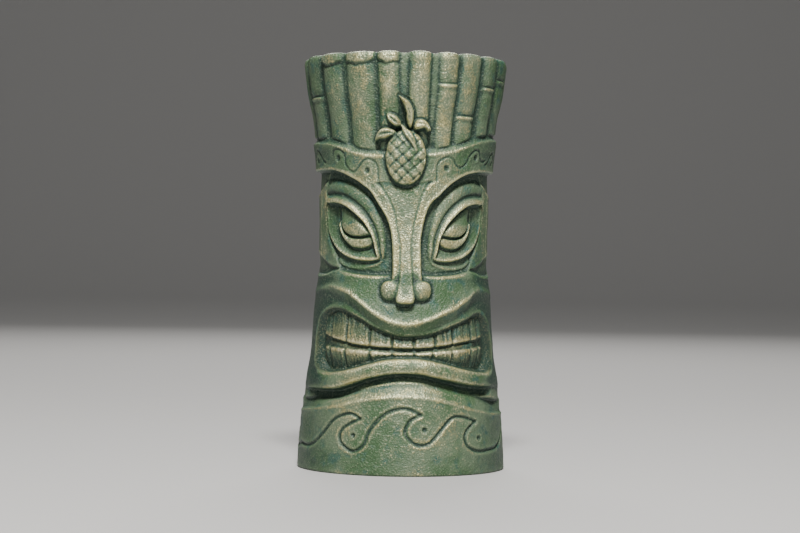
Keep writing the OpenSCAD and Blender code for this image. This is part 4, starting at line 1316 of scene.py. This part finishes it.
class Kind(Enum):
    """The kinds of node that the finishes use: each one's type, its settings and the output that is read."""

    PLACE = ("ShaderNodeTexCoord", {}, "Object")
    RAISED = ("ShaderNodeAttribute", {"attribute_name": "raised"}, "Fac")
    FORWARDS = ("ShaderNodeSeparateXYZ", {}, "Y")
    STRETCH = ("ShaderNodeMapping", {}, "Vector")
    NOISE = ("ShaderNodeTexNoise", {}, "Fac")
    RAMP = ("ShaderNodeMapRange", {"interpolation_type": "SMOOTHSTEP"}, "Result")
    RANGE = ("ShaderNodeMapRange", {}, "Result")
    LESS = ("ShaderNodeMath", {"operation": "SUBTRACT"}, "Value")
    TIMES = ("ShaderNodeMath", {"operation": "MULTIPLY"}, "Value")
    TIMES_AND_ADD = ("ShaderNodeMath", {"operation": "MULTIPLY_ADD"}, "Value")
    MIX = ("ShaderNodeMix", {"data_type": "RGBA"}, 2)
    BUMP = ("ShaderNodeBump", {}, "Normal")
    SURFACE = ("ShaderNodeBsdfPrincipled", {}, "BSDF")


Colour = tuple[float, float, float, float]


def linear(code: str) -> Colour:
    """A hex sRGB colour as linear RGBA."""
    parts = [int(code[i:i + 2], 16) / 255 for i in (1, 3, 5)]
    return (*(c / 12.92 if c <= 0.04045 else ((c + 0.055) / 1.055) ** 2.4 for c in parts), 1.0)


def per_mm(size: float) -> float:
    """The texture scale that gives a pattern of that many millimetres."""
    return 1.0 / (size * MM)


def add(tree: bpy.types.NodeTree, kind: Kind, **inputs: object) -> bpy.types.NodeSocket:
    """Adds a node with its settings and what goes into it.

    Args:
        tree: the material's node tree.
        kind: the kind of node.
        inputs: by socket name, with _ for a space and a number for a socket by place: a value or a socket to link.

    Returns:
        The node's output.
    """
    node_type, settings, output = kind.value
    node = tree.nodes.new(node_type)
    for key, value in settings.items():
        setattr(node, key, value)
    for key, value in inputs.items():
        socket = node.inputs[int(key[1:]) if key[1:].isdigit() else key.replace("_", " ")]
        if isinstance(value, bpy.types.NodeSocket):
            tree.links.new(value, socket)
        else:
            socket.default_value = value
    return node.outputs[output]


@dataclass(frozen=True)
class Finish:
    """A finish of its own material, whose surface the finishes below describe."""

    name: str

    def build(self) -> bpy.types.Material:
        """Makes the material."""
        material = bpy.data.materials.new(self.name)
        material.use_nodes = True
        tree = material.node_tree
        tree.nodes.clear()
        output = tree.nodes.new("ShaderNodeOutputMaterial")
        tree.links.new(self.surface(tree, add(tree, Kind.PLACE)), output.inputs["Surface"])
        return material

    def surface(self, tree: bpy.types.NodeTree, here: bpy.types.NodeSocket) -> bpy.types.NodeSocket:
        """The finished surface at a place on the mug, which each finish makes in its own way."""
        raise NotImplementedError


@dataclass(frozen=True)
class CastPatina(Finish):
    """Matt cast ceramic, stained green, then dry-rubbed with a pale gold bronzing wax over the raised parts.

    Stain pools dark in every hollow, and the same dark stain also stands as painted shade where the surface faces down
    or turns to the sides. The wax lies as a thin grey-green veil over the open surfaces, and thick and pale on edges
    and on single grains of the sandy cast. The front carries more wax and lighter colour and the sides and back less,
    as painted shade where the light falls off round the mug. Bronze powder in the wax makes it partly metallic. The
    sand's real grain, a quarter of a millimetre, is too fine to show, so it is drawn about three times as coarse.
    """

    stain: str = "#3D5B38"
    grey_green: str = "#5D7056"
    teal: str = "#2A554C"
    deep: str = "#1C372B"
    veil: str = "#8A9478"
    gold: str = "#9A9058"
    pale_wax: str = "#D6D6A4"
    pale_gold: str = "#CBC38A"
    veil_from: float = 0.53
    wax_from: float = 0.64
    gold_share: float = 0.45
    roughness: float = 0.52
    wax_smooths: float = 0.16
    cloud_mm: float = 22
    blotch_mm: float = 6
    coarse_mm: float = 2.6
    grain_mm: float = 0.75
    grain_height_mm: float = 0.62
    bronze: float = 0.5

    def surface(self, tree: bpy.types.NodeTree, here: bpy.types.NodeSocket) -> bpy.types.NodeSocket:
        """Stains the cast, rubs the wax over it and gives it its grain.

        Args:
            tree: the material's node tree.
            here: the place on the mug.

        Returns:
            The finished surface.
        """
        # The raised mark carries painted light and shade: lighter where the surface faces up, darker towards the
        # sides. The forward ramp below adds painted shade of its own: more wax and lighter colour towards the front,
        # darker towards the sides and back, where the light falls off.
        raised = add(tree, Kind.RAISED)
        ahead = add(tree, Kind.RAMP, Value=add(tree, Kind.FORWARDS, Vector=here), From_Min=-4 * MM, From_Max=-40 * MM)
        cloud, blotch, coarse, sand = (
            add(tree, Kind.NOISE, Vector=here, Scale=per_mm(size), Detail=detail, Roughness=0.6)
            for size, detail in ((self.cloud_mm, 3), (self.blotch_mm, 4), (self.coarse_mm, 3), (self.grain_mm, 1.5)))
        stained = linear(self.stain)
        for colour, value, low, high, most in (
                (self.grey_green, cloud, 0.36, 0.62, 1.0), (self.teal, blotch, 0.48, 0.7, 1.0),
                (self.deep, raised, 0.44, 0.14, 1.0), (self.veil, sand, 0.48, 0.72, 0.3)):
            stained = self.lay(tree, stained, linear(colour), value, low, high, most)
        held = self.total(tree, raised, (0.36, cloud, 0.5), (0.24, blotch, 0.5), (0.12, ahead, 0.0))
        thin = self.total(tree, held, (0.34, sand, 0.5), (0.24, coarse, 0.5))
        thick = self.total(tree, held, (0.85, sand, 0.5), (0.30, coarse, 0.5))
        wax = self.lay(tree, linear(self.veil), linear(self.gold), blotch, 0.42, 0.66, self.gold_share)
        wax_and_shade = add(tree, Kind.RAMP, Value=thin, From_Min=self.veil_from, From_Max=self.veil_from + 0.24)
        rubbed = add(tree, Kind.MIX, _0=add(tree, Kind.TIMES, _0=wax_and_shade, _1=0.92), _6=stained, _7=wax)
        pale = self.lay(tree, linear(self.pale_wax), linear(self.pale_gold), blotch, 0.44, 0.62)
        rubbed = self.lay(tree, rubbed, pale, thick, self.wax_from + 0.04, self.wax_from + 0.31, 0.88)
        rough = add(tree, Kind.RANGE, Value=wax_and_shade, To_Min=self.roughness, To_Max=self.roughness - self.wax_smooths)
        metal = add(tree, Kind.TIMES, _0=wax_and_shade, _1=self.bronze)
        grain = add(tree, Kind.TIMES_AND_ADD, _0=coarse, _1=0.6, _2=sand)
        bump = add(tree, Kind.BUMP, Strength=0.85, Distance=self.grain_height_mm * MM, Height=grain)
        return add(tree, Kind.SURFACE, Base_Color=rubbed, Roughness=rough, Normal=bump, IOR=1.5, Metallic=metal)

    def lay(self, tree: bpy.types.NodeTree, under: Colour | bpy.types.NodeSocket,
            over: Colour | bpy.types.NodeSocket, value: bpy.types.NodeSocket, low: float, high: float,
            most: float = 1.0) -> bpy.types.NodeSocket:
        """Lays one colour over another where a value is high.

        Args:
            tree: the material's node tree.
            under: the colour beneath.
            over: the colour on top.
            value: what decides how much of it shows.
            low: the value at which it starts to show.
            high: the value at which it shows most.
            most: how much of it shows there.

        Returns:
            The colour of the two together.
        """
        amount = add(tree, Kind.RAMP, Value=value, From_Min=low, From_Max=high, To_Max=most)
        return add(tree, Kind.MIX, _0=amount, _6=under, _7=over)

    def total(self, tree: bpy.types.NodeTree, start: bpy.types.NodeSocket,
              *parts: tuple[float, bpy.types.NodeSocket, float]) -> bpy.types.NodeSocket:
        """A value with shares of others added.

        Args:
            tree: the material's node tree.
            start: the value that they are added to.
            parts: the weight, the value and the level at which it adds nothing, for each.

        Returns:
            The sum.
        """
        for weight, value, level in parts:
            shifted = add(tree, Kind.LESS, _0=value, _1=level)
            start = add(tree, Kind.TIMES_AND_ADD, _0=shifted, _1=weight, _2=start)
        return start


@dataclass(frozen=True)
class LiningGlaze(Finish):
    """Satin dark green glaze poured into the mug, which runs in faint streaks."""

    name: str = "poured_green_lining_glaze"
    thin: str = "#2F4A3D"
    thick: str = "#182A23"
    roughness: float = 0.24
    runs_mm: float = 9
    ripple_mm: float = 4

    def surface(self, tree: bpy.types.NodeTree, here: bpy.types.NodeSocket) -> bpy.types.NodeSocket:
        """Tints the glaze in upright runs and ripples it.

        Args:
            tree: the material's node tree.
            here: the place on the mug.

        Returns:
            The finished surface.
        """
        upright = add(tree, Kind.STRETCH, Vector=here, Scale=(1.0, 1.0, 0.18))
        runs = add(tree, Kind.NOISE, Vector=upright, Scale=per_mm(self.runs_mm), Detail=4)
        tint = add(tree, Kind.MIX, _0=runs, _6=linear(self.thin), _7=linear(self.thick))
        ripple = add(tree, Kind.NOISE, Vector=here, Scale=per_mm(self.ripple_mm), Detail=2)
        bump = add(tree, Kind.BUMP, Strength=0.18, Distance=0.3 * MM, Height=ripple)
        return add(tree, Kind.SURFACE, Base_Color=tint, Roughness=self.roughness, Normal=bump, IOR=1.5)


# ---------------------------------------------------------------- the vessel


@dataclass
class Vessel:
    """The turned wall and floor behind the relief, seen inside the bore and under the foot."""

    bore_top: float = 166.2
    floor_top: float = 7.0
    recess: float = 1.2
    foot_bore: float = 35.2
    floor_radius: float = 35.15
    behind: float = 0.6
    rounds: int = 160

    def wall(self) -> bpy.types.Object:
        """Spins the wall: the outside behind the relief, the bore, and the rounded ring that it stands on."""
        outside = smooth(tuple(p for p in WALL_OUTSIDE if p[0] < self.bore_top), steps=2)
        inside = smooth(tuple(p for p in BORE if p[0] < self.bore_top), steps=4)
        lip = float(np.interp(self.bore_top, *smooth(BORE).T)) + 0.12
        profile = [(float(r) - self.behind, float(z)) for z, r in outside]
        profile += [(40.3, self.bore_top), (lip, self.bore_top)]
        profile += [(float(r), float(z)) for z, r in inside[::-1]]
        profile += [(self.foot_bore, self.floor_top), (self.foot_bore, self.recess + 0.6), (self.foot_bore + 0.2, 0.5),
                    (self.foot_bore + 0.9, 0.0)]
        return self.spin("mug_wall_bore", profile, ring=True)

    def floor(self) -> bpy.types.Object:
        """Spins the floor slab, with a fillet up to the bore on top and a shallow dish beneath."""
        under, top, edge = self.recess, self.floor_top, self.floor_radius
        profile = [(0, under + 0.5), (20, under + 0.25), (33, under), (34.6, under + 0.2), (edge, under + 0.9),
                   (edge, top + 2.4), (34.4, top + 1.0), (32.6, top + 0.25), (30, top), (0, top - 0.2)]
        return self.spin("mug_floor_slab", profile, ring=False)

    def spin(self, name: str, profile: list[tuple[float, float]], ring: bool) -> bpy.types.Object:
        """Spins a profile about the mug's axis into a closed piece.

        Args:
            name: the piece's name.
            profile: its section's (radius, height) points, running round it.
            ring: whether the section closes on itself, rather than at the axis.

        Returns:
            The new object.
        """
        bm = bmesh.new()
        verts = [bm.verts.new((r * MM, 0, z * MM)) for r, z in profile]
        edges = [bm.edges.new(pair) for pair in zip(verts, verts[1:], strict=False)]
        if ring:
            edges.append(bm.edges.new((verts[-1], verts[0])))
        bmesh.ops.spin(bm, geom=verts + edges, cent=(0, 0, 0), axis=(0, 0, 1), angle=2 * math.pi,
                       steps=self.rounds, use_merge=True, use_duplicate=False)
        bmesh.ops.remove_doubles(bm, verts=bm.verts, dist=1e-6)
        bmesh.ops.recalc_face_normals(bm, faces=bm.faces)
        for face in bm.faces:
            face.smooth = True
        piece = new_object(name, bm)
        piece.data.set_sharp_from_angle(angle=math.radians(40))
        return piece


# ---------------------------------------------------------------- the studio


@dataclass
class Studio:
    """A plain pale sweep, soft lights and the camera, in metres and watts."""

    half_width: float = 4.0
    sweep_front: float = -3.0
    bend_start: float = 2.0
    bend_radius: float = 1.2
    sweep_top: float = 4.0
    paper: str = "#BDBCBA"
    sky: str = "#C9CBCE"
    sky_strength: float = 0.15
    light_colour: tuple[float, float, float] = (1.0, 0.985, 0.965)
    aim: tuple[float, float, float] = (0, 0, 0.09)
    distance: float = 0.870
    eye_height: float = 0.0862
    turn_deg: float = -1.2
    lens: float = 89.3
    shift_x: float = -0.0038
    shift_y: float = 0.0040
    roll_deg: float = -0.8

    def sweep(self) -> None:
        """A pale floor that curves up into a pale backdrop."""
        bm = bmesh.new()
        start = bm.verts.new((-self.half_width, self.sweep_front, 0))
        bend = bm.verts.new((-self.half_width, self.bend_start, 0))
        bm.edges.new((start, bend))
        curve = bmesh.ops.spin(bm, geom=[bend], cent=(0, self.bend_start, self.bend_radius), axis=(1, 0, 0),
                               angle=math.pi / 2, steps=24)
        last = next(g for g in curve["geom_last"] if isinstance(g, bmesh.types.BMVert))
        top = bm.verts.new((-self.half_width, self.bend_start + self.bend_radius, self.sweep_top))
        bm.edges.new((last, top))
        drawn = bmesh.ops.extrude_edge_only(bm, edges=bm.edges)["geom"]
        across = [g for g in drawn if isinstance(g, bmesh.types.BMVert)]
        bmesh.ops.translate(bm, verts=across, vec=(2 * self.half_width, 0, 0))
        bmesh.ops.recalc_face_normals(bm, faces=bm.faces)
        if next(f for f in bm.faces if all(abs(v.co.z) < 1e-6 for v in f.verts)).normal.z < 0:
            bmesh.ops.reverse_faces(bm, faces=bm.faces)
        for face in bm.faces:
            face.smooth = True
        sweep = new_object("studio_sweep", bm)
        material = bpy.data.materials.new("pale_studio_paper")
        material.use_nodes = True
        shader = material.node_tree.nodes["Principled BSDF"]
        shader.inputs["Base Color"].default_value = linear(self.paper)
        shader.inputs["Roughness"].default_value = 0.9
        sweep.data.materials.append(material)

    def light(self, name: str, place: tuple[float, float, float], size: float, power: float) -> None:
        """Hangs one soft square light that faces the mug.

        Args:
            name: the light's name.
            place: where it hangs.
            size: its width.
            power: its power.
        """
        data = bpy.data.lights.new(name, "AREA")
        data.shape, data.size, data.energy, data.color = "SQUARE", size, power, self.light_colour
        lamp = bpy.data.objects.new(name, data)
        lamp.location = place
        lamp.rotation_mode = "QUATERNION"
        lamp.rotation_quaternion = (Vector(place) - Vector(self.aim)).to_track_quat("Z", "Y")
        bpy.context.scene.collection.objects.link(lamp)

    def camera(self) -> None:
        """Stands the camera in front of the face."""
        data = bpy.data.cameras.new("camera")
        data.lens, data.sensor_width = self.lens, 36
        data.shift_x, data.shift_y = self.shift_x, self.shift_y
        camera = bpy.data.objects.new("camera", data)
        turn = math.radians(self.turn_deg)
        camera.location = (self.distance * math.sin(turn), -self.distance * math.cos(turn), self.eye_height)
        camera.rotation_euler = (math.radians(90), math.radians(self.roll_deg), turn)
        bpy.context.scene.collection.objects.link(camera)
        bpy.context.scene.camera = camera

    def build(self) -> None:
        """Sets up the sweep, lights, world and camera."""
        self.sweep()
        self.light("key", (0.0, -0.82, 1.15), 0.26, 33)
        self.light("back", (0.0, 1.3, 1.2), 0.9, 15)
        world = bpy.data.worlds.new("studio")
        bpy.context.scene.world = world
        world.use_nodes = True
        sky = world.node_tree.nodes["Background"]
        sky.inputs["Color"].default_value = linear(self.sky)
        sky.inputs["Strength"].default_value = self.sky_strength
        self.camera()


# ---------------------------------------------------------------- putting it together


def model_relief() -> Shell:
    """Models the whole outside, sub-assembly by sub-assembly, from the wall outwards."""
    relief = Relief(Lattice())
    foot, jaw, eyes, nose, band = Foot(relief), Jaw(relief), Eyes(relief), Nose(relief), Headband(relief)
    teeth, ring, badge = Teeth(relief, jaw.mouth_depth), CaneRing(relief, band.bevel_height), PineappleBadge(relief)
    for part in (foot, jaw, teeth, eyes, nose, band, ring, badge):
        part.shape()
    foot.cut_waves()
    relief.radius = spread(relief.radius, 0.7)
    relief.radius += 0.13 * relief.uneven(9, 1) + 0.07 * relief.uneven(3.2, 2) + 0.035 * relief.uneven(1.2, 3)
    foot.claim()
    eyes.claim(jaw.cheek_height)
    jaw.claim(foot.step_height)
    for part in (teeth, ring, nose, band, badge):
        part.claim()
    return Shell(relief, ring.dome)


def slot_of(name: str) -> Slot:
    """Which of the record's material slots a piece takes its finish from."""
    if name.endswith("teeth"):
        return Slot.TOOTH
    return Slot.TRIM if name.startswith(("pineapple", "leaf", "eyeball")) else Slot.CLAY


def main() -> None:
    """Builds the mug and the studio."""
    finishes = {
        Slot.CLAY: CastPatina("cast_green_patina").build(),
        Slot.TRIM: CastPatina("cast_green_patina_trim").build(),
        Slot.TOOTH: CastPatina("cast_tooth_patina", stain="#465A42", grey_green="#5E6548", veil="#99946F",
                               gold="#A3945C", pale_wax="#DCD7AC", gold_share=0.6, wax_from=0.62).build(),
        Slot.WALL: LiningGlaze().build(),
    }
    shell, vessel = model_relief(), Vessel()
    pieces = [(shell.piece(name), "mug_wall" if name.startswith("wall_") else name, slot_of(name))
              for name in shell.names]
    pieces += [(vessel.wall(), "mug_wall", Slot.WALL), (vessel.floor(), "mug_floor", Slot.WALL)]
    for piece, node, slot in pieces:
        piece.data.materials.append(finishes[slot])
        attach(piece, "root")
        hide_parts(node)
        log.info("%s: %d faces", piece.name, len(piece.data.polygons))
    Studio().build()


if __name__ == "__main__":
    main()
